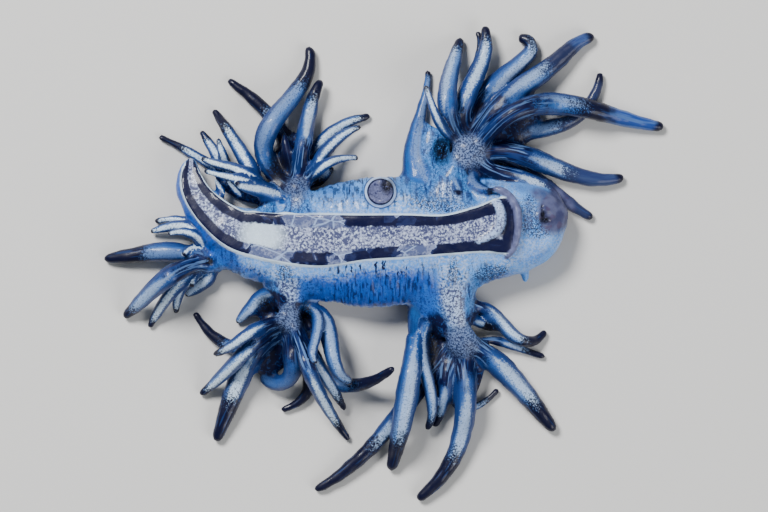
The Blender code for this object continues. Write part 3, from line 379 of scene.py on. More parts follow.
# Zones of the trunk and the arms, seen from above: middle, half sizes, bearing and strength. The
# silver ones are pale and stippled, the azured ones a saturated blue, the dusky ones violet grey,
# the speckled ones full of dark specks and the dashed ones full of short dark lines. A zone fades
# out from fade times its half sizes
Zone = namedtuple("Zone", "x y half_x half_y bearing strength fade", defaults=(0.6,))
ZONES = {
    "silver": (
        Zone(5.4, -2.2, 1.3, 3.6, 8.0, 1.0), Zone(-7.4, -2.3, 1.15, 3.2, 0.0, 0.9),
        Zone(-6.9, 5.4, 1.1, 1.4, 0.0, 0.9), Zone(4.6, 5.2, 2.2, 0.9, 0.0, 0.6),
        Zone(1.2, 4.6, 2.6, 0.6, -8.0, 0.9), Zone(9.6, -0.3, 2.4, 0.8, 20.0, 0.5),
    ),
    "azured": (
        Zone(-1.2, -2.1, 6.0, 2.2, 0.0, 1.0, 0.75), Zone(3.0, -3.9, 1.3, 2.8, 12.0, 1.0),
        Zone(-5.4, -1.9, 0.9, 1.6, 0.0, 0.8), Zone(-11.0, 0.3, 2.4, 1.0, -18.0, 1.0),
        Zone(-14.6, 3.6, 1.6, 4.6, 22.0, 1.0, 0.8), Zone(-9.4, -1.6, 0.9, 1.8, 0.0, 0.8),
        Zone(11.6, 0.9, 1.6, 0.5, 35.0, 0.3), Zone(8.6, -1.6, 1.6, 0.7, 25.0, 0.8),
        Zone(-3.6, 5.6, 1.6, 0.5, 0.0, 0.25),
    ),
    "dusky": (
        Zone(12.8, 3.85, 1.35, 1.7, -8.0, 1.0, 0.8), Zone(11.9, 4.95, 1.2, 0.6, -25.0, 0.85),
        Zone(10.9, 5.5, 1.2, 0.4, -12.0, 0.35), Zone(10.7, 3.5, 0.4, 1.5, 0.0, 0.5),
    ),
    "speckled": (
        Zone(11.4, 2.9, 1.25, 1.15, -10.0, 1.0), Zone(10.8, 4.4, 0.7, 0.8, 0.0, 0.7),
        Zone(7.9, -0.8, 1.5, 0.7, 10.0, 0.9), Zone(5.2, -1.8, 0.5, 2.6, 0.0, 0.8),
        Zone(4.4, 4.7, 2.6, 1.1, 0.0, 0.9), Zone(-7.4, -1.6, 0.8, 1.8, 0.0, 0.8),
    ),
    "dashed": (
        Zone(-0.6, -0.5, 4.2, 0.75, 3.0, 1.0), Zone(1.0, -1.6, 1.6, 0.8, 0.0, 0.6),
        Zone(-1.6, 5.3, 4.2, 1.6, 0.0, 0.7), Zone(-12.0, 1.2, 2.6, 1.5, -25.0, 0.5),
    ),
}
# The painted reflection of the wet film on the foot's right and left borders along the body, from navy at 0,
# none of it, to silver at 1
FILM_SHEEN = (
    (-16.0, 0.0, 0.0), (-10.2, 0.0, 0.0), (-9.9, 0.0, 0.85), (-9.1, 0.1, 0.9), (-8.8, 0.8, 0.9),
    (-8.4, 0.1, 0.9), (-7.5, 0.2, 0.9), (-7.2, 0.95, 0.9), (-6.5, 0.95, 0.85), (-6.2, 0.95, 0.05),
    (-5.6, 0.95, 0.05), (-5.2, 0.95, 0.85), (-4.8, 0.95, 0.05), (-4.2, 0.95, 0.1), (-3.9, 0.95, 0.8),
    (-3.1, 0.9, 0.7), (-2.8, 0.3, 0.4), (-2.3, 0.05, 0.4), (0.5, 0.15, 0.1), (0.9, 0.45, 0.2),
    (1.2, 0.45, 0.8), (3.6, 0.45, 0.8), (4.1, 0.0, 0.05), (11.0, 0.0, 0.0),
)
# The middle of a painted highlight, a white pool on the foot's middle band at its brightest place
GLARE_PLACE = (-9.1, 2.1, 4.0)
# The colours of the skin, each with what it paints
COLOURS = {
    "flank_light": ("Flanks beside the foot", (0.075, 0.26, 0.7)),
    "flank_sky": ("Paler patches of the flanks", (0.13, 0.38, 0.9)),
    "flank_deep": ("Saturated part of the left flank", (0.004, 0.08, 0.45)),
    "flank_low": ("Flanks near the floor", (0.01, 0.05, 0.25)),
    "arm_blue": ("Sides of the arms", (0.03, 0.15, 0.42)),
    "azure": ("Brightest blue of some cerata", (0.008, 0.1, 0.38)),
    "navy": ("Borders of the foot, streaks and roots", (0.0015, 0.003, 0.034)),
    "silver": ("Middle of the foot and pale specks", (0.4, 0.55, 0.86)),
    # White also paints highlights: the pool and the rim of the foot and the stripes of the cerata
    "white": ("Brightest marks", (0.68, 0.84, 1.0)),
    "sole_silver": ("Middle of the foot", (0.36, 0.41, 0.62)),
    "sole_grey": ("Dark specks of the foot's middle", (0.06, 0.07, 0.16)),
    # Painted reflection of the wet film on the foot's borders, and its palest part
    "sole_glaze": ("Pale patches on the foot's borders", (0.085, 0.11, 0.24)),
    "sole_film": ("Palest part of the foot's patches", (0.22, 0.26, 0.42)),
    "border_blue": ("Blue patches on the foot's borders", (0.012, 0.02, 0.085)),
    "ceras_dark": ("Specks and edges of cerata", (0.008, 0.03, 0.14)),
    "ceras_blue": ("Darker middles of cerata", (0.018, 0.068, 0.25)),
    "ceras_pale": ("Paler middles of cerata", (0.2, 0.38, 0.76)),
    "tip_navy": ("Dark tips of cerata", (0.0012, 0.002, 0.022)),
    "tip_grey": ("Glassy tips of cerata", (0.02, 0.03, 0.095)),
    "tip_clear": ("Translucent ends of cerata", (0.012, 0.05, 0.25)),
    "palm_dark": ("Dark specks of the palms", (0.018, 0.03, 0.085)),
    "palm_pale": ("Pale ground of the palms", (0.15, 0.22, 0.42)),
    "dusky": ("Darker snout and folds", (0.04, 0.045, 0.12)),
    "dusky_pale": ("Paler snout and folds", (0.1, 0.11, 0.22)),
    "fold": ("Pale folds of the head", (0.15, 0.17, 0.33)),
    "reddish": ("Spots of the snout", (0.07, 0.045, 0.1)),
    # Painted shade in the hollows
    "hollow": ("Dark hollows", (0.003, 0.003, 0.008)),
}

Spot = namedtuple("Spot", "share x y z radius")


def blend(a, b, t):
    """From a at 0 to b at 1."""
    return a + (b - a) * t


def ease(t):
    """A smooth rise of one value from 0 to 1."""
    t = min(max(t, 0.0), 1.0)
    return t * t * (3.0 - 2.0 * t)


def smooth_step(values, start, end):
    """A smooth rise of an array's values from 0 at start to 1 at end."""
    t = np.clip((values - start) / (end - start), 0.0, 1.0)
    return t * t * (3.0 - 2.0 * t)


def power(value, exponent):
    """A power that keeps the sign of its base."""
    return math.copysign(abs(value) ** exponent, value)


def along(line, place):
    """The smooth row of values at a place counted in stations, by a Catmull-Rom spline."""
    last = len(line) - 1
    first = min(max(int(place), 0), last - 1)
    t = place - first
    rows = [line[min(max(first + k, 0), last)] for k in (-1, 0, 1, 2)]
    values = []
    for before, start, end, after in zip(*rows):
        leave = (end - before) / 2.0
        arrive = (after - start) / 2.0
        rest = end - start
        square = 3 * rest - 2 * leave - arrive
        cube = leave + arrive - 2 * rest
        values.append(start + leave * t + square * t * t + cube * t**3)
    return values


def heading(line, place):
    """The direction of travel at a place on a line, as an angle from +X."""
    step = 0.05
    ahead = along(line, min(place + step, len(line) - 1))
    behind = along(line, max(place - step, 0.0))
    return math.atan2(ahead[1] - behind[1], ahead[0] - behind[0])


def stops(start, end, per_unit):
    """Evenly spaced values from start to end."""
    count = max(2, round((end - start) * per_unit))
    return [blend(start, end, k / count) for k in range(count + 1)]


def nearest_place(line, x, y):
    """The place on a line that is nearest to a point, in stations."""
    count = TRIES_PER_STATION * (len(line) - 1)
    tries = [k / TRIES_PER_STATION for k in range(count + 1)]
    return min(tries, key=lambda p: math.hypot(along(line, p)[0] - x, along(line, p)[1] - y))


def arm_rows(arm, steps):
    """Centre, heading, half width and height of the top at steps along an arm."""
    rows = []
    for k in range(steps):
        t = k / (steps - 1)
        legs = tuple(zip(arm.root, arm.via, arm.palm))
        x, y = [(1 - t) ** 2 * r + 2 * t * (1 - t) * v + t * t * p for r, v, p in legs]
        dx, dy = [(1 - t) * (v - r) + t * (p - v) for r, v, p in legs]
        angle = math.atan2(dy, dx)
        back = ARM_END_SHORT * arm.palm_radius * t
        centre = (x - math.cos(angle) * back, y - math.sin(angle) * back)
        half = blend(arm.root_half, arm.palm_half, ease(t * 1.1))
        rows.append((centre, angle, half, blend(arm.root_high, arm.palm_high, t)))
    return rows


def ceras_radius(ceras, share):
    """Slim at the root, stoutest at its full place, tapered to a blunt tip."""
    if share < ceras.full:
        part = blend(CERAS_ROOT_SHARE, 1.0, ease(share / ceras.full))
    else:
        left = (1.0 - share) / (1.0 - ceras.full)
        part = blend(ceras.end, 1.0, left**ceras.taper)
    return max(ceras.girth * part, CERAS_LEAST_RADIUS)


def curled(points, ceras):
    """Turns the end of a path more and more, to its full curl at the tip."""
    last = len(points) - 1
    found = [points[0]]
    for k in range(last):
        past = max((k + 0.5) / last - ceras.curl_from, 0.0) / (1.0 - ceras.curl_from)
        turn = math.radians(ceras.curl) * past
        dx = points[k + 1][0] - points[k][0]
        dy = points[k + 1][1] - points[k][1]
        x = found[-1][0] + math.cos(turn) * dx - math.sin(turn) * dy
        y = found[-1][1] + math.sin(turn) * dx + math.cos(turn) * dy
        found.append((x, y))
    return found


def plan_path(ceras):
    """The points of a ceras seen from above, from root to tip."""
    (x0, y0), (x1, y1) = ceras.root, ceras.tip
    length = math.hypot(x1 - x0, y1 - y0)
    side_x, side_y = (y0 - y1) / length, (x1 - x0) / length
    points = []
    for k in range(LAY_POINTS):
        t = k / (LAY_POINTS - 1)
        # The cubic that passes through near at a third and far at two thirds
        bow = 13.5 * t * (1 - t) * (ceras.near * (2 / 3 - t) + ceras.far * (t - 1 / 3))
        points.append((blend(x0, x1, t) + side_x * bow, blend(y0, y1, t) + side_y * bow))
    return curled(points, ceras)


def dome(offset, half, low, high):
    """The height of a rounded section's top at an offset from its middle."""
    part = 1.0 - (abs(offset) / half) ** (2.0 / BOXY)
    middle = blend(low, high, WIDEST_AT)
    return middle + (high - middle) * part ** (BOXY / 2.0)


def body_top(x, y):
    """The height of the trunk's top at a place, or None beside it or where it overhangs."""
    place = nearest_place(BODY_LINE, x, y)
    bx, by, half, low, high = along(BODY_LINE, place)
    offset = math.hypot(x - bx, y - by)
    if offset > half * COVERS or low > OVERHANG:
        return None
    return dome(offset, half, low, high)


def arm_top(x, y, sides):
    """The height of the highest of some arms at a place, or None beside them."""
    tops = []
    for side in sides:
        rows = arm_rows(ARMS[side], 2 * ARM_STEPS)
        if side in FLAPS:
            rows.extend(arm_rows(FLAPS[side], 2 * ARM_STEPS))
        for centre, _, half, high in rows:
            offset = math.hypot(x - centre[0], y - centre[1])
            if offset < half * COVERS:
                tops.append(dome(offset, half, ARM_LOW, high))
    return max(tops, default=None)


def least_height(x, y, radius, ceras, side, laid):
    """The least height at which a new ceras clears the trunk, the arms and the cerata under it."""
    least = radius + FLOOR_CLEARANCE
    others = [s for s in ARMS if not (ceras.stem == "arm" and s == side)]
    for top in (body_top(x, y), arm_top(x, y, others)):
        if top is not None:
            least = max(least, top + GAP + radius)
    for spot in laid:
        need = radius + spot.radius + GAP
        flat = math.hypot(x - spot.x, y - spot.y)
        if flat < need:
            least = max(least, spot.z + math.sqrt(need * need - flat * flat))
    return least


def smooth_heights(heights, step):
    """Spreads each rise over a length that soft flesh would take, then rounds the profile."""
    count = range(len(heights))
    fall = STEEPEST * step
    spread = [max(heights[j] - fall * abs(i - j) for j in count) for i in count]
    for _ in range(SMOOTHINGS):
        inner = [(a + 2 * b + c) / 4 for a, b, c in zip(spread, spread[1:], spread[2:])]
        spread = [spread[0], *inner, spread[-1]]
    return spread


def lay(ceras, side, rank, laid):
    """Lays one ceras over those already laid and gives its spots from root to tip."""
    arm = ARMS[side]
    path = plan_path(ceras)
    root_height = arm.palm_high * blend(ROOT_LOWEST, ROOT_HIGHEST, rank)
    droop = blend(DROOP_LOWEST, DROOP_HIGHEST, rank)
    heights = []
    length = 0.0
    for k, (x, y) in enumerate(path):
        share = k / (LAY_POINTS - 1)
        radius = ceras_radius(ceras, share)
        rest = radius + FLOOR_CLEARANCE
        height = rest + (root_height - rest) * (1.0 - share) ** droop
        least = least_height(x, y, radius, ceras, side, laid)
        away = math.hypot(x - ceras.root[0], y - ceras.root[1]) - ceras.girth
        if ceras.stem == "palm":
            away = math.hypot(x - arm.palm[0], y - arm.palm[1]) - arm.palm_radius
        heights.append(height + max(least - height, 0.0) * ease(away / FREE_OVER))
        if k:
            length += math.hypot(x - path[k - 1][0], y - path[k - 1][1])
    heights = smooth_heights(heights, length / (LAY_POINTS - 1))
    spots = []
    for k, ((x, y), z) in enumerate(zip(path, heights)):
        share = k / (LAY_POINTS - 1)
        radius = ceras_radius(ceras, share)
        spots.append(Spot(share, x, y, max(z, radius + FLOOR_CLEARANCE), radius))
    return spots


def lay_all():
    """The spots of every ceras by arm, each laid over the ones before it."""
    laid = []
    found = {}
    for side, row in CERATA.items():
        found[side] = []
        for k, ceras in enumerate(row):
            spots = lay(ceras, side, k / (len(row) - 1), laid)
            found[side].append(spots)
            laid.extend(spots[2:])
    return found


def joined_edges(ring):
    return list({edge for vert in ring for edge in vert.link_edges})


def bridged(bm, rings, name):
    """A mesh of rings of vertices joined into one closed skin."""
    edges = [joined_edges(ring) for ring in rings]
    for near, far in zip(edges, edges[1:]):
        bmesh.ops.bridge_loops(bm, edges=near + far)
    bmesh.ops.holes_fill(bm, edges=edges[0] + edges[-1])
    bmesh.ops.recalc_face_normals(bm, faces=bm.faces)
    return mesh_of(bm, name)


def section(bm, sides, centre, angle, half, low, high):
    """Adds a rounded cross-section, square to a heading and pressed flat on the floor."""
    middle = blend(low, high, WIDEST_AT)
    ring = bmesh.ops.create_circle(bm, segments=sides, radius=1.0)["verts"]
    for vert in ring:
        side = power(vert.co.x, BOXY) * half
        reach = high - middle if vert.co.y > 0 else middle - low
        height = middle + power(vert.co.y, BOXY) * reach
        x = centre[0] - math.sin(angle) * side
        y = centre[1] + math.cos(angle) * side
        vert.co = (x, y, max(height, 0.0))
    return ring


def placed(name, data, place=ORIGIN):
    """Adds an object to the scene."""
    obj = bpy.data.objects.new(name, data)
    obj.location = place
    bpy.context.collection.objects.link(obj)
    return obj


def mesh_of(bm, name):
    mesh = bpy.data.meshes.new(name)
    bm.to_mesh(mesh)
    bm.free()
    return mesh


def trunk_form():
    """The trunk, from the snout to the tail's tip."""
    bm = bmesh.new()
    rings = []
    for place in stops(0.0, len(BODY_LINE) - 1.0, RINGS_PER_STATION):
        x, y, half, low, high = along(BODY_LINE, place)
        rings.append(section(bm, TRUNK_SIDES, (x, y), heading(BODY_LINE, place), half, low, high))
    return bridged(bm, rings, "trunk_form")


def foot_form():
    """The foot: a strip with raised rims and a shallow hollow along the belly."""
    bm = bmesh.new()
    rings = []
    for place in stops(0.0, len(FOOT_LINE) - 1.0, RINGS_PER_STATION):
        x, y, half, thick = along(FOOT_LINE, place)
        angle = heading(FOOT_LINE, place)
        top = along(BODY_LINE, nearest_place(BODY_LINE, x, y))[4] + FOOT_PROUD
        ring = bmesh.ops.create_circle(bm, segments=FOOT_SIDES, radius=1.0)["verts"]
        for vert in ring:
            across = power(vert.co.x, FOOT_BOXY[0])
            height = top - thick / 2 + power(vert.co.y, FOOT_BOXY[1]) * thick / 2
            if vert.co.y > 0:
                height += FOOT_RIM * across**4 - FOOT_HOLLOW * (1 - across**2)
            side = across * half
            vert.co = (x - math.sin(angle) * side, y + math.cos(angle) * side, height)
        rings.append(ring)
    return bridged(bm, rings, "foot_form")


def arm_form(arm):
    """The stout stalk of an arm."""
    bm = bmesh.new()
    rings = []
    for centre, angle, half, high in arm_rows(arm, ARM_RINGS):
        rings.append(section(bm, ARM_SIDES, centre, angle, half, ARM_LOW, high))
    return bridged(bm, rings, "arm_form")


def ball_form(x, y, z, long, wide, high, bearing):
    """A ball squeezed to three half sizes and turned to a bearing."""
    bm = bmesh.new()
    matrix = Matrix.Translation((x, y, z)) @ Matrix.Rotation(math.radians(bearing), 4, "Z")
    matrix @= Matrix.Diagonal((long, wide, high, 1.0))
    bmesh.ops.create_uvsphere(bm, u_segments=BALL_SIDES, v_segments=BALL_RINGS, radius=1.0, matrix=matrix)
    return mesh_of(bm, "ball_form")


def palm_form(arm):
    """The knob at an arm's end, a flattened ball."""
    radius = arm.palm_radius
    height = radius * PALM_FLATNESS
    return ball_form(*arm.palm, arm.palm_high - height, radius, radius, height, 0.0)


def tubes_form(rows):
    """Round, closed tubes through rows of x, y, z and radius."""
    curve = bpy.data.curves.new("tubes", "CURVE")
    curve.dimensions = "3D"
    curve.bevel_depth = 1.0
    curve.bevel_resolution = TUBE_RESOLUTION
    curve.use_fill_caps = True
    for row in rows:
        spline = curve.splines.new("POLY")
        spline.points.add(len(row) - 1)
        for spot, (x, y, z, radius) in zip(spline.points, row):
            spot.co = (x, y, z, 1.0)
            spot.radius = radius
    guide = placed("tubes", curve)
    graph = bpy.context.evaluated_depsgraph_get()
    mesh = bpy.data.meshes.new_from_object(guide.evaluated_get(graph))
    bpy.data.objects.remove(guide)
    bm = bmesh.new()
    bm.from_mesh(mesh)
    bmesh.ops.remove_doubles(bm, verts=bm.verts, dist=0.001)
    bmesh.ops.recalc_face_normals(bm, faces=bm.faces)
    return mesh_of(bm, "tubes_form")


def rounded_end(spots):
    """The stations of a ceras, with its last length drawn in to a round tip."""
    tip = spots[-1]
    end = Vector(tip[1:4])
    ahead = (end - Vector(spots[-3][1:4])).normalized()
    kept = [spot for spot in spots if (Vector(spot[1:4]) - end).length > tip.radius * TIP_LENGTH]
    row = [tuple(spot[1:]) for spot in kept]
    for step, share in TIP_ROUND:
        x, y, z = end - ahead * tip.radius * step
        row.append((x, y, z, tip.radius * share))
    return row


def feeler_row(feeler):
    """The stations of a feeler, a short blunt cone."""
    angle = math.radians(feeler.bearing)
    row = []
    for t, share in FEELER_TAPER:
        x = feeler.x + math.cos(angle) * feeler.length * t
        y = feeler.y + math.sin(angle) * feeler.length * t
        row.append((x, y, feeler.height, feeler.girth * share))
    return row


def fold_row(fold):
    """The stations of a fold, laid on the trunk or on the foot by how proud it stands."""
    row = []
    for place in stops(0.0, len(fold) - 1.0, RINGS_PER_STATION):
        x, y, radius, proud = along(fold, place)
        high = along(BODY_LINE, nearest_place(BODY_LINE, x, y))[4]
        row.append((x, y, max(body_top(x, y) or 0.0, high - FOLD_DIP) + proud, radius))
    return row


def ring_row(place, radius, narrow, lean, axis, thickness):
    """The stations of a closed ring that leans about an axis."""
    turn = Matrix.Rotation(math.radians(lean), 3, axis)
    row = []
    for k in range(RING_STATIONS + RING_OVERLAP):
        angle = 2 * math.pi * k / RING_STATIONS
        offset = (math.cos(angle) * radius, math.sin(angle) * radius * narrow, 0.0)
        spot = Vector(place) + turn @ Vector(offset)
        row.append((*spot, thickness))
    return row


def all_rows(spots):
    """The tubes of the cerata and of the feelers, as rows of stations."""
    rows = [rounded_end(row) for side in spots.values() for row in side]
    rows.extend(feeler_row(feeler) for feeler in FEELERS)
    rows.extend(fold_row(fold) for fold in FOLDS)
    thin_lips = LIPS_THICKNESS * LIPS_SHARE
    rows.append(ring_row(LIPS_PLACE, LIPS_RADIUS, LIPS_NARROWING, LIPS_LEAN, "Y", thin_lips))
    rows.append(ring_row(PAPILLA_PLACE, PAPILLA_RADIUS, 1.0, -PAPILLA_LEAN, "X", PAPILLA_THICKNESS))
    return rows


def finished(mesh, name, kinds):
    """A mesh with modifiers of the given kinds and settings applied in turn."""
    obj = placed(name, mesh)
    for kind, settings in kinds:
        modifier = obj.modifiers.new(kind.lower(), kind)
        for key, value in settings.items():
            setattr(modifier, key, value)
    graph = bpy.context.evaluated_depsgraph_get()
    result = bpy.data.meshes.new_from_object(obj.evaluated_get(graph))
    bpy.data.objects.remove(obj)
    return result


def flesh(spots, sizes):
    """All forms of the animal melted into one closed skin, in millimetres."""
    forms = [trunk_form(), foot_form(), tubes_form(all_rows(spots))]
    for arm in ARMS.values():
        forms.extend((arm_form(arm), palm_form(arm)))
    forms.extend(arm_form(flap) for flap in FLAPS.values())
    for web in WEBS:
        height = web.high + FLOOR_CLEARANCE
        forms.append(ball_form(web.x, web.y, height, web.long, web.wide, web.high, web.bearing))
    bm = bmesh.new()
    for form in forms:
        bm.from_mesh(form)
        bpy.data.meshes.remove(form)
    whole = mesh_of(bm, "flesh")
    melt = {"mode": "VOXEL", "voxel_size": sizes.grain / MM}
    return finished(whole, "flesh", [("REMESH", melt)])


def values_of(rows, key, width, kind=np.float32):
    """A value of all vertices or edges, as rows of a width."""
    found = np.empty(len(rows) * width, kind)
    rows.foreach_get(key, found)
    return found.reshape(-1, width)


def places_of(mesh):
    return values_of(mesh.vertices, "co", 3).astype(float)


def move(mesh, points):
    """Puts the vertices of a mesh at new places."""
    mesh.vertices.foreach_set("co", points.astype(np.float32).ravel())
    mesh.update()


def softened(points, edges, shares, rounds):
    """Points drawn towards the middle of their neighbours by their shares, round after round."""
    count = np.bincount(edges.ravel(), minlength=len(points))
    for _ in range(rounds):
        pull = np.zeros_like(points)
        for near, far in (edges.T, edges.T[::-1]):
            for axis in range(3):
                pull[:, axis] += np.bincount(near, points[far, axis], len(points))
        points = points + shares[:, None] * (pull / count[:, None] - points)
    return points


def ripple(points, wave, seed):
    """Smooth irregular values between about -1 and 1 that vary over a wavelength."""
    total = np.zeros(len(points))
    for k in range(RIPPLE_WAVES):
        turn = seed + 2.4 * k
        way = (math.cos(turn), math.sin(turn), 0.6 * math.cos(2.0 * turn))
        total += np.sin(points @ np.array(way) * (2 * math.pi / wave) * (0.8 + 0.09 * k) + 1.7 * turn)
    return total / 3.0


def shaped(mesh, spots, sizes):
    """The skin's points, softened where flesh joins, with its hollows, wrinkles and ripples."""
    points = places_of(mesh)
    edges = values_of(mesh.edges, "vertices", 2, np.int32)
    fingers = ceras_marks(points, spots)
    body = body_marks(points)
    on_trunk = rooted_marks(points) * (1.0 - body["sole"]) * smooth_step(body["out"], 0.05, 0.3)
    joins = np.clip(knuckle_marks(points) + web_marks(points) + on_trunk, 0.0, 1.0)
    joins *= smooth_step(points[:, 2], 0.2, 0.6)
    points = softened(points, edges, np.full(len(points), 0.5), SOFT_ROUNDS)
    points = softened(points, edges, 0.6 * joins, JOIN_ROUNDS)
    move(mesh, points)
    out = values_of(mesh.vertex_normals, "vector", 3).astype(float)
    on_ceras = 1.0 - smooth_step(fingers["gap"], *CERAS_EDGE)
    flesh_share = body["trunk"] * (1.0 - body["sole"]) * (1.0 - on_ceras)
    folds = np.sin(body["walk"] * (2 * math.pi / FOLD_WAVE) + 1.5 * ripple(points, 3.0, 1.0))
    folds *= smooth_step(body["out"], 0.1, 1.2) * (1.0 - 0.85 * smooth_step(points[:, 0], *SMOOTH_HEAD))
    rings = 0.5 * ripple(points, 1.1, 2.0) * on_ceras * smooth_step(fingers["share"], 0.1, 0.3)
    bumps = ripple(points, 1.7, 3.0) * (1.0 - 0.6 * on_ceras)
    lift = sizes.fold / MM * (folds * flesh_share + rings + bumps)
    lift += PLUMP * on_ceras * (1.0 - smooth_step(fingers["share"], 0.75, 0.95))
    points = points + out * (lift * smooth_step(points[:, 2], 0.05, 0.4))[:, None]
    facing = smooth_step(out[:, 2], -0.2, 0.3) * smooth_step(points[:, 2], 0.4, 0.8)
    points[:, 2] -= hollow_marks(points)[1] * facing
    return points


def line_samples(line):
    """Rows of a line at close places, with the place and the distance travelled."""
    rows = []
    travelled = 0.0
    for place in stops(0.0, len(line) - 1.0, SAMPLES_PER_STATION):
        row = along(line, place)
        if rows:
            travelled += math.hypot(row[0] - rows[-1][2], row[1] - rows[-1][3])
        rows.append((place, travelled, *row, heading(line, place)))
    return np.array(rows)


def nearest(points, table, away):
    """For each point the number of the table's row that is the least away, chunk by chunk."""
    parts = [points[start : start + CHUNK] for start in range(0, len(points), CHUNK)]
    return np.concatenate([away(part, table).argmin(axis=1) for part in parts])


def away_in_plan(part, table):
    return (part[:, :1] - table[:, 2]) ** 2 + (part[:, 1:2] - table[:, 3]) ** 2


def away_from_skin(part, table):
    return np.sqrt(sum((part[:, k : k + 1] - table[:, k]) ** 2 for k in range(3))) - table[:, 3]


def nearest_row(points, rows):
    """For each point the row of a line that is nearest in plan, and the offset to its left."""
    near = rows[nearest(points, rows, away_in_plan)]
    turn = near[:, -1]
    offset = (points[:, 1] - near[:, 3]) * np.cos(turn) - (points[:, 0] - near[:, 2]) * np.sin(turn)
    return near, offset


def body_marks(points):
    """Where each point lies on the foot and on the flanks."""
    sole, offset = nearest_row(points, line_samples(FOOT_LINE))
    across = offset / sole[:, 4]
    body, body_offset = nearest_row(points, line_samples(BODY_LINE))
    # Where the painted reflection of the torn wet film lies on each border of the foot
    sheen_rows = np.array(FILM_SHEEN)
    torn_sheen = points[:, 0] + 0.3 * ripple(points, 1.6, 5.0) + 0.25 * ripple(points, 0.8, 6.0)
    torn_sheen += 0.7 * (np.abs(across) - 0.7)
    right = np.interp(torn_sheen, sheen_rows[:, 0], sheen_rows[:, 1])
    left = np.interp(torn_sheen, sheen_rows[:, 0], sheen_rows[:, 2])
    high = body[:, 6]
    low = np.maximum(body[:, 5], 0.0)
    on_top = smooth_step(points[:, 2], high - 0.45, high - 0.1)
    inside = smooth_step(-np.abs(offset), -sole[:, 4] - 0.12, -sole[:, 4] - 0.02)
    ends = smooth_step(sole[:, 0], 0.0, 0.1)
    return {
        "sole": on_top * inside * ends,
        "across": across,
        "place": sole[:, 0],
        "edge": np.abs(offset) - sole[:, 4] + 0.8 * np.maximum(high - points[:, 2], 0.0),
        "down": np.clip((high - points[:, 2]) / (high - low), 0.0, 1.0),
        "trunk": smooth_step(-np.abs(body_offset), -body[:, 4] * 1.12, -body[:, 4] * 0.98),
        "walk": body[:, 1],
        "out": np.abs(offset) - sole[:, 4],
        "rim": np.abs(body_offset) / body[:, 4],
        "foot_sheen": np.where(points[:, 1] > sole[:, 3], right, left),
        "flank": np.sign(body_offset),
    }


def ceras_marks(points, spots):
    """The nearest ceras of each point, how far along it lies, and on which side of it."""
    rows = [
        (spot.x, spot.y, spot.z, spot.radius, spot.share, number, k)
        for number, row in enumerate(row for side in spots.values() for row in side)
        for k, spot in enumerate(row)
    ]
    table = np.array(rows)
    best = nearest(points, table, away_from_skin)
    inner = table[best, 6]
    best = np.where(inner == 0, best + 1, np.where(inner == LAY_POINTS - 1, best - 1, best))
    before, here, after = table[best - 1], table[best], table[best + 1]
    way = after[:, :3] - before[:, :3]
    length = np.linalg.norm(way, axis=1)
    way /= length[:, None]
    ahead = np.einsum("ij,ij->i", points - here[:, :3], way)
    share = here[:, 4] + ahead / length * (after[:, 4] - before[:, 4])
    away = points - here[:, :3] - way * ahead[:, None]
    left = np.stack((-way[:, 1], way[:, 0], np.zeros(len(way))), axis=1)
    left /= np.linalg.norm(left, axis=1)[:, None]
    up = np.cross(way, left)
    sideways = np.einsum("ij,ij->i", away, left)
    upward = np.einsum("ij,ij->i", away, up)
    beyond = np.maximum(np.abs(ahead) - length / 2, 0.0)
    gap = np.hypot(np.linalg.norm(away, axis=1), beyond) - here[:, 3]
    return {
        "number": here[:, 5].astype(int),
        "share": np.clip(share, 0.0, 1.0),
        "gap": gap,
        "side": np.clip(sideways / here[:, 3], -1.0, 1.0),
        "round": np.arctan2(sideways, upward) * here[:, 3],
        "travel": share * length / (after[:, 4] - before[:, 4]),
    }


def oval(points, x, y, half_x, half_y, bearing=0.0):
    """How far each point lies from a middle, as a share of the half sizes of an oval round it."""
    turn = math.radians(bearing)
    east, north = points[:, 0] - x, points[:, 1] - y
    ahead = (east * math.cos(turn) + north * math.sin(turn)) / half_x
    aside = (north * math.cos(turn) - east * math.sin(turn)) / half_y
    return np.hypot(ahead, aside)


def patches(points, rows):
    """How deep each point lies in some oval patches, each with its strength and where it fades."""
    found = np.zeros(len(points))
    for strength, start, end, *sizes in rows:
        fading = 1.0 - smooth_step(oval(points, *sizes), start, end)
        found = np.maximum(found, strength * fading)
    return found


def zone_marks(points, zones):
    """How surely each point lies in one of some zones."""
    rows = [(zone.strength, zone.fade, max(1.25, zone.fade + 0.3), *zone[:5]) for zone in zones]
    return patches(points, rows)


def knuckle_marks(points):
    """How near each point is to the knob of a palm."""
    rows = [(1.0, 1.1, 2.0, *arm.palm, arm.palm_radius, arm.palm_radius) for arm in ARMS.values()]
    return patches(points, rows)


def rooted_marks(points):
    """How near each point is to where an arm leaves the trunk."""
    rows = [(1.0, 0.95, 1.5, *arm.root, arm.root_half, arm.root_half) for arm in ARMS.values()]
    return patches(points, rows)


def palm_marks(points):
    """How near each point is to a palm that is grey."""
    arms = [(tone, ARMS[side]) for side, tone in PALM_TONES.items()]
    rows = [(tone, 0.75, 1.25, *arm.palm, arm.palm_radius, arm.palm_radius) for tone, arm in arms]
    return patches(points, rows)


def web_marks(points):
    """How deep each point lies in the dark flesh between the roots of a fan, dark both in colour and with
    painted shade.
    """
    grown = 0.3
    rows = [(1.0, 0.85, 1.1, w.x, w.y, w.long + grown, w.wide + grown, w.bearing) for w in WEBS]
    return patches(points, rows)


def hollow_marks(points):
    """How deep each point lies in a hollow, and how far it is pressed in."""
    found = patches(points, [(1.0, 0.3, 1.5, *hollow[:4]) for hollow in HOLLOWS])
    return found, patches(points, [(hollow.depth, 0.5, 1.1, *hollow[:4]) for hollow in HOLLOWS])


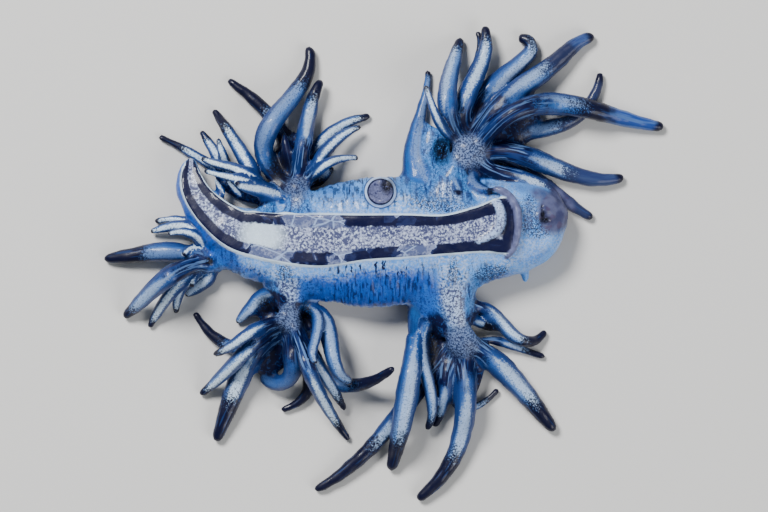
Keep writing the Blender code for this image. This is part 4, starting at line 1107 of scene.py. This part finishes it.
def fold_marks(points, fold):
    """How near each point is to a fold."""
    rows = np.array([(row[0], row[1], row[3]) for row in fold_row(fold)])
    away = np.full(len(points), np.inf)
    for x, y, radius in rows:
        away = np.minimum(away, np.hypot(points[:, 0] - x, points[:, 1] - y) / radius)
    return (1.0 - smooth_step(away, 0.95, 1.2)) * smooth_step(points[:, 2], 3.4, 3.7)


def arm_marks(points):
    """How surely each point is on an arm, and how far aside it lies on it."""
    on_arm = np.zeros(len(points))
    aside = np.zeros(len(points))
    for arm in (*ARMS.values(), *FLAPS.values()):
        rows = []
        for k, (centre, angle, half, high) in enumerate(arm_rows(arm, ARM_SAMPLES)):
            rows.append((k / (ARM_SAMPLES - 1), 0.0, *centre, half, high, angle))
        near, offset = nearest_row(points, np.array(rows))
        beside = 1.0 - smooth_step(np.abs(offset) / near[:, 4], 0.95, 1.15)
        found = smooth_step(near[:, 0], 0.2, 0.4) * beside
        away = np.hypot(points[:, 0] - near[:, 2], points[:, 1] - near[:, 3])
        found[(near[:, 0] == 1.0) & (away > near[:, 4])] = 0.0
        aside = np.where(found > on_arm, offset / near[:, 4], aside)
        on_arm = np.maximum(on_arm, found)
    return on_arm, np.clip(aside, -1.0, 1.0)


def add_marks(mesh, name, values):
    """Stores numbers, or rows of three, on the vertices for the materials to read."""
    kind = "FLOAT" if values.ndim == 1 else "FLOAT_VECTOR"
    layer = mesh.attributes.new(name, kind, "POINT")
    layer.data.foreach_set("value" if values.ndim == 1 else "vector", values.astype(np.float32).ravel())


def mark_skin(mesh, points, spots):
    """Works out the marks that tell the material where on the animal each point lies."""
    body = body_marks(points)
    fingers = ceras_marks(points, spots)
    number = fingers["number"]
    paints = np.array([paint for side in CERATA for paint in PAINTS[side]])[number]
    ceras = 1.0 - smooth_step(fingers["gap"], *CERAS_EDGE)
    on_arm, aside = arm_marks(points)
    on_ceras = np.stack((fingers["round"], fingers["travel"], number * CERAS_SHIFT), axis=1)
    on_body = np.stack((body["walk"], body["edge"], body["flank"] * FLANK_SHIFT), axis=1)
    marks = {name: body[name] for name in BODY_MARKS}
    marks.update({name: zone_marks(points, zones) for name, zones in ZONES.items()})
    marks.update({name: paints[:, k] for k, name in enumerate(Paint._fields)})
    marks.update(
        ceras=ceras,
        share=fingers["share"],
        side=fingers["side"],
        palm=palm_marks(points),
        papilla=oval(points, *PAPILLA_PLACE[:2], 1.0, 1.0),
        front_fold=fold_marks(points, FOLDS[0]),
        inner_fold=fold_marks(points, FOLDS[1]),
        web=web_marks(points),
        hollow=hollow_marks(points)[0],
        arm=on_arm,
        aside=aside,
        lie=np.where(ceras[:, None] > 0.5, on_ceras, on_body),
    )
    for name, values in marks.items():
        add_marks(mesh, name, values)


class Wire:
    """One socket of a material, which sums and products join by Math nodes."""

    def __init__(self, board, socket):
        self.board = board
        self.socket = socket

    def math(self, operation, *values):
        return self.board.node("ShaderNodeMath", {"operation": operation}, dict(enumerate(values)))

    def __add__(self, other):
        return self.math("ADD", self, other)

    def __sub__(self, other):
        return self.math("SUBTRACT", self, other)

    def __mul__(self, other):
        return self.math("MULTIPLY", self, other)

    def __truediv__(self, other):
        return self.math("DIVIDE", self, other)

    def __abs__(self):
        return self.math("ABSOLUTE", self)

    def step(self, start, end, low=0.0, high=1.0):
        """A smooth rise from low at start to high at end."""
        settings = {"interpolation_type": "SMOOTHSTEP"}
        values = {"Value": self, "From Min": start, "From Max": end, "To Min": low, "To Max": high}
        return self.board.node("ShaderNodeMapRange", settings, values)


class Board:
    """The nodes of one material."""

    def __init__(self, name):
        self.material = bpy.data.materials.new(name)
        self.material.use_nodes = True
        self.tree = self.material.node_tree
        self.shader = self.tree.nodes["Principled BSDF"]

    def put(self, socket, value):
        """Links a wire to a socket, or sets the socket to a value."""
        if isinstance(value, Wire):
            self.tree.links.new(value.socket, socket)
        else:
            socket.default_value = value

    def node(self, kind, settings, values, output=0):
        """Adds a node, sets it up, gives its sockets values or links, and returns an output."""
        node = self.tree.nodes.new(kind)
        for key, value in settings.items():
            setattr(node, key, value)
        named = {socket.identifier: socket for socket in node.inputs}
        for key, value in values.items():
            self.put(node.inputs[key] if isinstance(key, int) or key not in named else named[key], value)
        return Wire(self, node.outputs[output])

    def mark(self, name, output="Fac"):
        """A mark that the mesh carries."""
        return self.node("ShaderNodeAttribute", {"attribute_name": name}, {}, output)

    def noise(self, vector, scale, detail=2.0, roughness=0.5, distortion=0.0):
        values = {"Vector": vector, "Scale": scale, "Detail": detail, "Roughness": roughness}
        values["Distortion"] = distortion
        return self.node("ShaderNodeTexNoise", {}, values)

    def stretched(self, vector, scale, shift=ORIGIN):
        return self.node("ShaderNodeMapping", {}, {"Vector": vector, "Scale": scale, "Location": shift})

    def grained(self, vector, scale, shift, *settings):
        """Noise on stretched places."""
        return self.noise(self.stretched(vector, scale, shift), 1.0, *settings)

    def layers(self, base, *rows):
        """A ground colour and the colours laid over it in turn, each by its share."""
        for share, colour in rows:
            pair = [c if isinstance(c, Wire) else (*c, 1.0) for c in (base, colour)]
            values = {"Factor_Float": share, "A_Color": pair[0], "B_Color": pair[1]}
            base = self.node("ShaderNodeMix", {"data_type": "RGBA"}, values, 2)
        return base

    def finish(self, inputs):
        """Sets or links the shader's sockets."""
        for key, value in inputs.items():
            self.put(self.shader.inputs[key], value)
        return self.material


def flank_colour(board, ink, places, lie):
    """Pale stipple by the foot, then a clear blue with fine dark lines that run down the flank."""
    out = board.mark("out")
    azured = board.mark("azured")
    speckled = board.mark("speckled")
    down = board.mark("down")
    fine = board.noise(places, 5.5, 2.0, 0.75)
    finer = board.noise(places, 11.0, 1.0, 0.6)
    patchy = board.noise(places, 0.9, 2.0)
    lines = board.grained(lie, (5.2, 0.55, 1.0), ORIGIN, 2.0, 0.6)
    dashes = board.grained(lie, (4.2, 0.9, 1.0), (3.0, 7.0, 0.0), 1.0, 0.4)
    east = board.node("ShaderNodeSeparateXYZ", {}, {"Vector": places})
    tail = east.step(-10.8, -12.6)
    deep = azured * (out + (patchy - 0.5) * 0.8 + tail).step(0.4, 1.1)
    lined = lines.step(0.5, 0.6) * out.step(0.3, 1.1) * east.step(8.8, 7.4)
    near = (out + (patchy - 0.5) * 0.9 + tail * 2.0).step(1.6, 0.5)
    pale = near * 0.6 + board.mark("silver")
    rim = board.mark("rim").step(0.93, 0.99) * down.step(0.42, 0.48) * down.step(0.56, 0.5)
    base = board.layers(
        ink.flank_light,
        (patchy.step(0.3, 0.7), ink.flank_sky),
        (deep, ink.flank_deep),
        (lined * 0.75, ink.navy),
        (lines.step(0.44, 0.36) * deep * 0.3, ink.flank_light),
        (fine.step(0.45, 0.53) * pale.math("MINIMUM", pale, 1.0), ink.silver),
        ((finer + speckled * 0.13).step(0.56, 0.64) * speckled.step(0.0, 0.7, 0.4, 0.9), ink.navy),
        (dashes.step(0.57, 0.63) * board.mark("dashed"), ink.navy),
        (rim * azured * 0.6, ink.silver),
        (down.step(0.62, 0.95) * board.mark("trunk") * 0.8, ink.flank_low),
    )
    return papilla_colour(board, ink, places, base)


def papilla_colour(board, ink, places, base):
    """The papilla: a dark outline round a pale rim, and a speckled violet middle."""
    away = board.mark("papilla")
    cloud = board.noise(places, 4.0, 2.0, 0.6)
    middle = board.layers(
        ink.dusky_pale, (cloud.step(0.4, 0.6), ink.fold), (cloud.step(0.56, 0.62), ink.dusky)
    )
    return board.layers(
        base,
        (away.step(1.32, 1.24) * 0.85, ink.ceras_dark),
        (away.step(1.21, 1.15), ink.silver),
        (away.step(1.04, 0.98), ink.navy),
        (away.step(0.92, 0.84), middle),
    )


def dusky_colour(board, ink, places):
    """The violet-grey skin of the snout and the folds, with reddish spots."""
    cloud = board.noise(places, 1.1, 2.0, 0.5)
    red = board.noise(places, 1.9, 1.0, 0.4)
    return board.layers(
        ink.dusky, (cloud.step(0.35, 0.65), ink.dusky_pale), (red.step(0.6, 0.68) * 0.6, ink.reddish)
    )


def sole_colour(board, ink, places):
    """The foot: a mottled silver band, whiter in a painted highlight, between navy borders with patches of
    painted reflection, and a thin white rim of painted highlight.
    """
    across = abs(board.mark("across"))
    place = board.mark("place")
    ragged = board.noise(places, 1.9, 3.0, 0.65) - 0.5
    shards = {"Vector": board.stretched(places, (0.6, 1.0, 1.0)), "Scale": 1.0}
    piece = board.node("ShaderNodeTexVoronoi", {"feature": "F1"}, shards, "Position")
    torn_sheen = board.node("ShaderNodeTexWhiteNoise", {"noise_dimensions": "3D"}, {"Vector": piece})
    sheen_edges = board.node("ShaderNodeTexVoronoi", {"feature": "DISTANCE_TO_EDGE"}, shards)
    width = place.step(8.0, 11.0, 0.46, 0.32)
    band = (across + ragged * 0.28 - width).step(-0.05, 0.05, 1.0, 0.0) * place.step(1.25, 1.45)
    mottle = board.noise(places, 5.6, 3.0, 0.7)
    # A slow drift of tone, for the middle band and for the painted reflection on the borders
    drift_and_sheen = board.noise(places, 1.0, 2.0, 0.5) - 0.5
    # How far from the middle of the painted highlight
    bright = {0: places, 1: GLARE_PLACE}
    bright = board.node("ShaderNodeVectorMath", {"operation": "DISTANCE"}, bright, "Value")
    silver = board.layers(
        ink.sole_grey,
        ((mottle + drift_and_sheen * 0.3).step(0.45, 0.55), ink.sole_silver),
        (mottle.step(0.56, 0.64) * 0.8, ink.white),
        # A pool of white round one place of the band, a painted highlight
        (bright.step(0.8, 2.2, 1.0, 0.0) * 0.85, ink.white),
    )
    # How much painted reflection of the wet film lies on the foot's borders, in torn pieces
    tone = board.mark("foot_sheen") + (torn_sheen - 0.5) * 0.5 + ragged * 0.25
    sheen_patches = board.layers(
        ink.sole_glaze,
        ((mottle + drift_and_sheen * 0.8).step(0.4, 0.62), ink.sole_film),
        # Thin glints along the edges of the pieces, painted reflection
        (sheen_edges.step(0.05, 0.02) * 0.6, ink.silver),
    )
    streaky = board.grained(places, (0.8, 4.0, 1.0), ORIGIN, 3.0, 0.6)
    lobe = board.layers(ink.dusky_pale, (mottle.step(0.4, 0.5), ink.silver))
    return board.layers(
        ink.navy,
        # The borders: navy under a blue fringe and pale patches of painted reflection of the wet film
        (tone.step(0.3, 0.4), ink.border_blue),
        (tone.step(0.55, 0.6), sheen_patches),
        (streaky.step(0.62, 0.7) * 0.5, ink.border_blue),
        (band, silver),
        (board.mark("inner_fold"), lobe),
        # A thin white line along the foot's edge, a painted highlight
        ((across - place.step(6.0, 7.5, 0.95, 0.9)).step(0.0, 0.03), ink.white),
    )


def ceras_colour(board, ink, places, lie):
    """A ceras: a dark root with pale lines, a middle that lightens in stipple, a white stripe that is partly
    a painted highlight, and a dark tip.
    """
    share = board.mark("share")
    rooted = board.mark("rooted")
    tipped = board.mark("tipped")
    side = board.mark("side")
    pale = board.mark("pale")
    azure = board.mark("azure")
    white = board.mark("white")
    glassy = board.mark("glassy")
    edge = abs(side)
    fine = board.noise(places, 8.5, 2.0, 0.7)
    lines = board.grained(lie, (3.0, 0.3, 1.0), ORIGIN, 2.0, 0.6)
    hair = board.grained(lie, (6.0, 0.4, 1.0), (2.0, 9.0, 4.0), 1.0, 0.5)
    wander = (board.noise(places, 1.2, 2.0) - 0.5) * 0.25
    inner = (share - rooted + wander * 0.6) / (tipped - rooted + 0.06)
    light = (inner - edge * 0.6 + (fine - 0.5) * 2.0 + (lines - 0.5) * 0.8).step(-0.05, 0.4)
    spindle = inner.step(-0.05, 0.5) * inner.step(1.2, 0.8)
    # How far each point lies from the white stripe, which runs along the lit side
    narrow = abs(side - board.mark("banded")) + (lines - 0.5) * 0.8 + (fine - 0.5) * 1.2
    ragged = (fine - 0.5) * 0.5 + (hair - 0.5) * 0.4
    dark = board.layers(
        ink.navy,
        (lines.step(0.5, 0.6) * 0.8, ink.ceras_dark),
        (hair.step(0.57, 0.62) * (pale * 0.6 + azure * 0.2), ink.ceras_pale),
    )
    near_root = (share - rooted * 1.1 + wander + (fine - 0.5) * 0.25).step(-0.05, 0.08, 1.0, 0.0)
    cleared = (share - board.mark("clear") + wander * 0.5).step(-0.03, 0.05)
    clouded = board.layers(
        ink.tip_clear,
        (lines.step(0.45, 0.65) * 0.35, ink.ceras_pale),
        (glassy * 0.8, ink.tip_grey),
    )
    tip = board.layers(
        ink.tip_navy,
        (glassy, ink.tip_grey),
        (hair.step(0.6, 0.68) * 0.35, ink.ceras_blue),
        (cleared * lines.step(0.7, 0.5, 0.75, 1.0), clouded),
    )
    return board.layers(
        ink.ceras_blue,
        (azure, ink.azure),
        (lines.step(0.5, 0.64) * 0.6, ink.ceras_dark),
        (light * pale, ink.ceras_pale),
        # The white stripe: the ceras's pale colour and a painted highlight along its lit side
        ((narrow - spindle * 0.5).step(0.1, -0.14) * white, ink.white),
        (fine.step(0.54, 0.62) * 0.5, ink.ceras_dark),
        ((edge + ragged + white * 0.2).step(0.45, 0.88) * 0.9, ink.ceras_dark),
        (near_root * rooted.step(0.0, 0.1), dark),
        ((share - tipped + wander * 0.7 + (fine - 0.5) * 0.4).step(-0.05, 0.07), tip),
        ((share + wander * 0.2).step(0.93, 0.97), ink.tip_navy),
    )


def arm_colour(board, ink, places):
    """An arm: a silver, stippled middle between clear blue sides."""
    fine = board.noise(places, 5.5, 2.0, 0.7)
    finer = board.noise(places, 9.0, 1.0, 0.6)
    lines = board.grained(places, (4.0, 0.9, 1.0), ORIGIN, 2.0, 0.6).step(0.53, 0.6)
    middle = (abs(board.mark("aside")) + (fine - 0.5) * 0.6).step(0.65, 0.4)
    grains = board.layers(ink.sole_grey, (fine.step(0.45, 0.55), ink.silver))
    return board.layers(
        ink.arm_blue,
        (fine.step(0.44, 0.6), ink.flank_light),
        (lines * 0.65, ink.ceras_dark),
        (board.mark("azured") * 0.8, ink.flank_deep),
        (lines * 0.5, ink.ceras_dark),
        (middle * board.mark("silver"), grains),
        (finer.step(0.57, 0.63) * 0.7, ink.navy),
    )


def wet_skin(ink, sizes):
    """The skin's one material."""
    board = Board("wet_skin")
    coordinates = board.node("ShaderNodeTexCoord", {}, {}, "Object")
    places = board.stretched(coordinates, (1.0 / MM, 1.0 / MM, 1.0 / MM))
    lie = board.mark("lie", "Vector")
    web, hollow = board.mark("web"), board.mark("hollow")
    clouds = board.noise(places, 2.4, 2.0).step(0.35, 0.65)
    veins = board.noise(places, 3.0, 2.0, 0.6, 1.0).step(0.54, 0.62)
    grain = board.noise(places, 8.0, 2.0, 0.6)
    base = board.layers(
        flank_colour(board, ink, places, lie),
        (board.mark("arm"), arm_colour(board, ink, places)),
        (board.mark("sole"), sole_colour(board, ink, places)),
        (board.mark("front_fold"), board.layers(ink.dusky_pale, (clouds, ink.fold))),
        # The webs: navy flesh, darkened with painted shade between the cerata
        (web * board.mark("trunk").step(0.5, 0.0), board.layers(ink.navy, (veins * 0.6, ink.ceras_blue))),
        (board.mark("ceras"), ceras_colour(board, ink, places, lie)),
        (board.mark("dusky"), dusky_colour(board, ink, places)),
        (board.mark("palm"), board.layers(ink.palm_dark, (grain.step(0.44, 0.56), ink.palm_pale))),
        # Painted shade that darkens the hollows
        (hollow * grain.step(0.72, 0.5), ink.hollow),
    )
    height = board.grained(lie, (3.0, 0.5, 1.0), ORIGIN, 3.0, 0.6) * 0.6 + grain * 0.4
    wrinkles = {"Strength": 0.8, "Distance": sizes.wrinkle, "Height": height}
    sunken = hollow.math("MAXIMUM", hollow, web * 0.7)
    return board.finish(
        {
            "Base Color": base,
            "Roughness": board.noise(places, 2.0, 2.0).step(0.3, 0.7, 0.36, 0.54),
            "Normal": board.node("ShaderNodeBump", {}, wrinkles),
            "IOR": 1.38,
            "Specular IOR Level": 0.32,
            "Subsurface Weight": 0.06,
            "Subsurface Scale": 0.0004,
            "Subsurface Radius": (0.5, 0.7, 1.0),
            "Coat Weight": sunken.step(0.0, 1.0, 0.26, 0.03),
            "Coat Roughness": 0.1,
        }
    )


def colour_property(key, description, default):
    name = key.replace("_", " ").capitalize()
    return bpy.props.FloatVectorProperty(
        name=name, description=description, default=default, size=3, subtype="COLOR", min=0.0, max=1.0
    )


def length_property(name, description, default):
    return bpy.props.FloatProperty(
        name=name, description=description, default=default, unit="LENGTH", precision=5, min=0.0
    )


class SlugSizes(bpy.types.PropertyGroup):
    """Sizes of the skin."""

    grain: length_property("Grain", "Size of the skin's mesh", 0.00013)
    thinning: bpy.props.FloatProperty(
        name="Thinning", description="Share of the skin's faces that is kept", default=0.56, min=0.1, max=1.0
    )
    fold: length_property("Fold", "Height of the folds across the flanks", 0.000035)
    wrinkle: length_property("Wrinkle", "Depth of the finest wrinkles", 0.00004)


class SlugColours(bpy.types.PropertyGroup):
    """Colours of the skin."""

    __annotations__ = {key: colour_property(key, *row) for key, row in COLOURS.items()}


class StageSettings(bpy.types.PropertyGroup):
    """Camera, floor and lights."""

    width: length_property("Width in view", "Width that the camera takes in at the floor", 0.0576)
    distance: length_property("Camera height", "Height of the camera over the floor", 0.5)
    floor: colour_property("floor", "Colour of the floor", (0.72, 0.71, 0.69))


class OBJECT_OT_slug_skin(bpy.types.Operator):
    """Add the whole skin of the sea slug with its markings"""

    bl_idname = "object.slug_skin"
    bl_label = "Add Skin"

    def execute(self, context):
        sizes = context.scene.slug_sizes
        spots = lay_all()
        mesh = flesh(spots, sizes)
        move(mesh, shaped(mesh, spots, sizes))
        mesh = finished(mesh, "slug_skin", [("DECIMATE", {"ratio": sizes.thinning})])
        points = places_of(mesh)
        mark_skin(mesh, points, spots)
        lowest, highest = np.array(CAD_BOX[0]), np.array(CAD_BOX[1])
        move(mesh, np.clip((points + (*CENTRE, 0.0)) * MM, lowest, highest))
        mesh.name = "slug_skin"
        mesh.shade_smooth()
        skin = placed("slug_skin", mesh)
        mesh.materials.append(wet_skin(context.scene.slug_colours, sizes))
        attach(skin, "root")
        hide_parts(*[row["node"] for row in frame["record"]["subparts"]])
        return {"FINISHED"}


class OBJECT_OT_slug_stage(bpy.types.Operator):
    """Add the floor, the soft lights and a camera that looks straight down"""

    bl_idname = "object.slug_stage"
    bl_label = "Add Stage"

    def execute(self, context):
        stage = context.scene.slug_stage
        bm = bmesh.new()
        bmesh.ops.create_grid(bm, x_segments=1, y_segments=1, size=FLOOR_SIZE)
        floor = placed("floor", mesh_of(bm, "floor"))
        board = Board("pale_floor")
        floor.data.materials.append(board.finish({"Base Color": (*stage.floor, 1.0), "Roughness": 0.85}))
        camera = bpy.data.cameras.new("camera")
        camera.sensor_width = 36.0
        camera.lens = camera.sensor_width * stage.distance / stage.width
        camera.clip_start = 0.01
        camera.clip_end = 10.0
        east, north = (shift * MM for shift in PICTURE_SHIFT)
        context.scene.camera = placed("camera", camera, (east, north, stage.distance))
        for name, place, size, energy in LIGHTS:
            light = bpy.data.lights.new(name, "AREA")
            light.shape = "DISK"
            light.size = size
            light.energy = energy
            lamp = placed(name, light, place)
            lamp.rotation_euler = (-Vector(place)).to_track_quat("-Z", "Y").to_euler()
        world = bpy.data.worlds.new("soft_daylight")
        world.use_nodes = True
        sky = world.node_tree.nodes["Background"]
        sky.inputs["Color"].default_value = (0.85, 0.92, 1.0, 1.0)
        sky.inputs["Strength"].default_value = SKY_STRENGTH
        context.scene.world = world
        return {"FINISHED"}


class VIEW3D_PT_sea_slug(bpy.types.Panel):
    """Lists the sizes, the colours and the pieces"""

    bl_label = "Sea Slug"
    bl_space_type = "VIEW_3D"
    bl_region_type = "UI"
    bl_category = "Sea Slug"

    def draw(self, context):
        for group in (context.scene.slug_sizes, context.scene.slug_colours, context.scene.slug_stage):
            column = self.layout.column()
            for key in group.bl_rna.properties.keys():
                if key not in ("rna_type", "name"):
                    column.prop(group, key)
        for operator in OPERATORS:
            self.layout.operator(operator.bl_idname)


OPERATORS = (OBJECT_OT_slug_skin, OBJECT_OT_slug_stage)
GROUPS = {"slug_sizes": SlugSizes, "slug_colours": SlugColours, "slug_stage": StageSettings}
CLASSES = (*GROUPS.values(), *OPERATORS, VIEW3D_PT_sea_slug)


def register():
    for kind in CLASSES:
        bpy.utils.register_class(kind)
    for name, group in GROUPS.items():
        setattr(bpy.types.Scene, name, bpy.props.PointerProperty(type=group))


def unregister():
    for name in GROUPS:
        delattr(bpy.types.Scene, name)
    for kind in reversed(CLASSES):
        bpy.utils.unregister_class(kind)


def main():
    register()
    bpy.ops.object.slug_skin()
    bpy.ops.object.slug_stage()


if __name__ == "__main__":
    main()
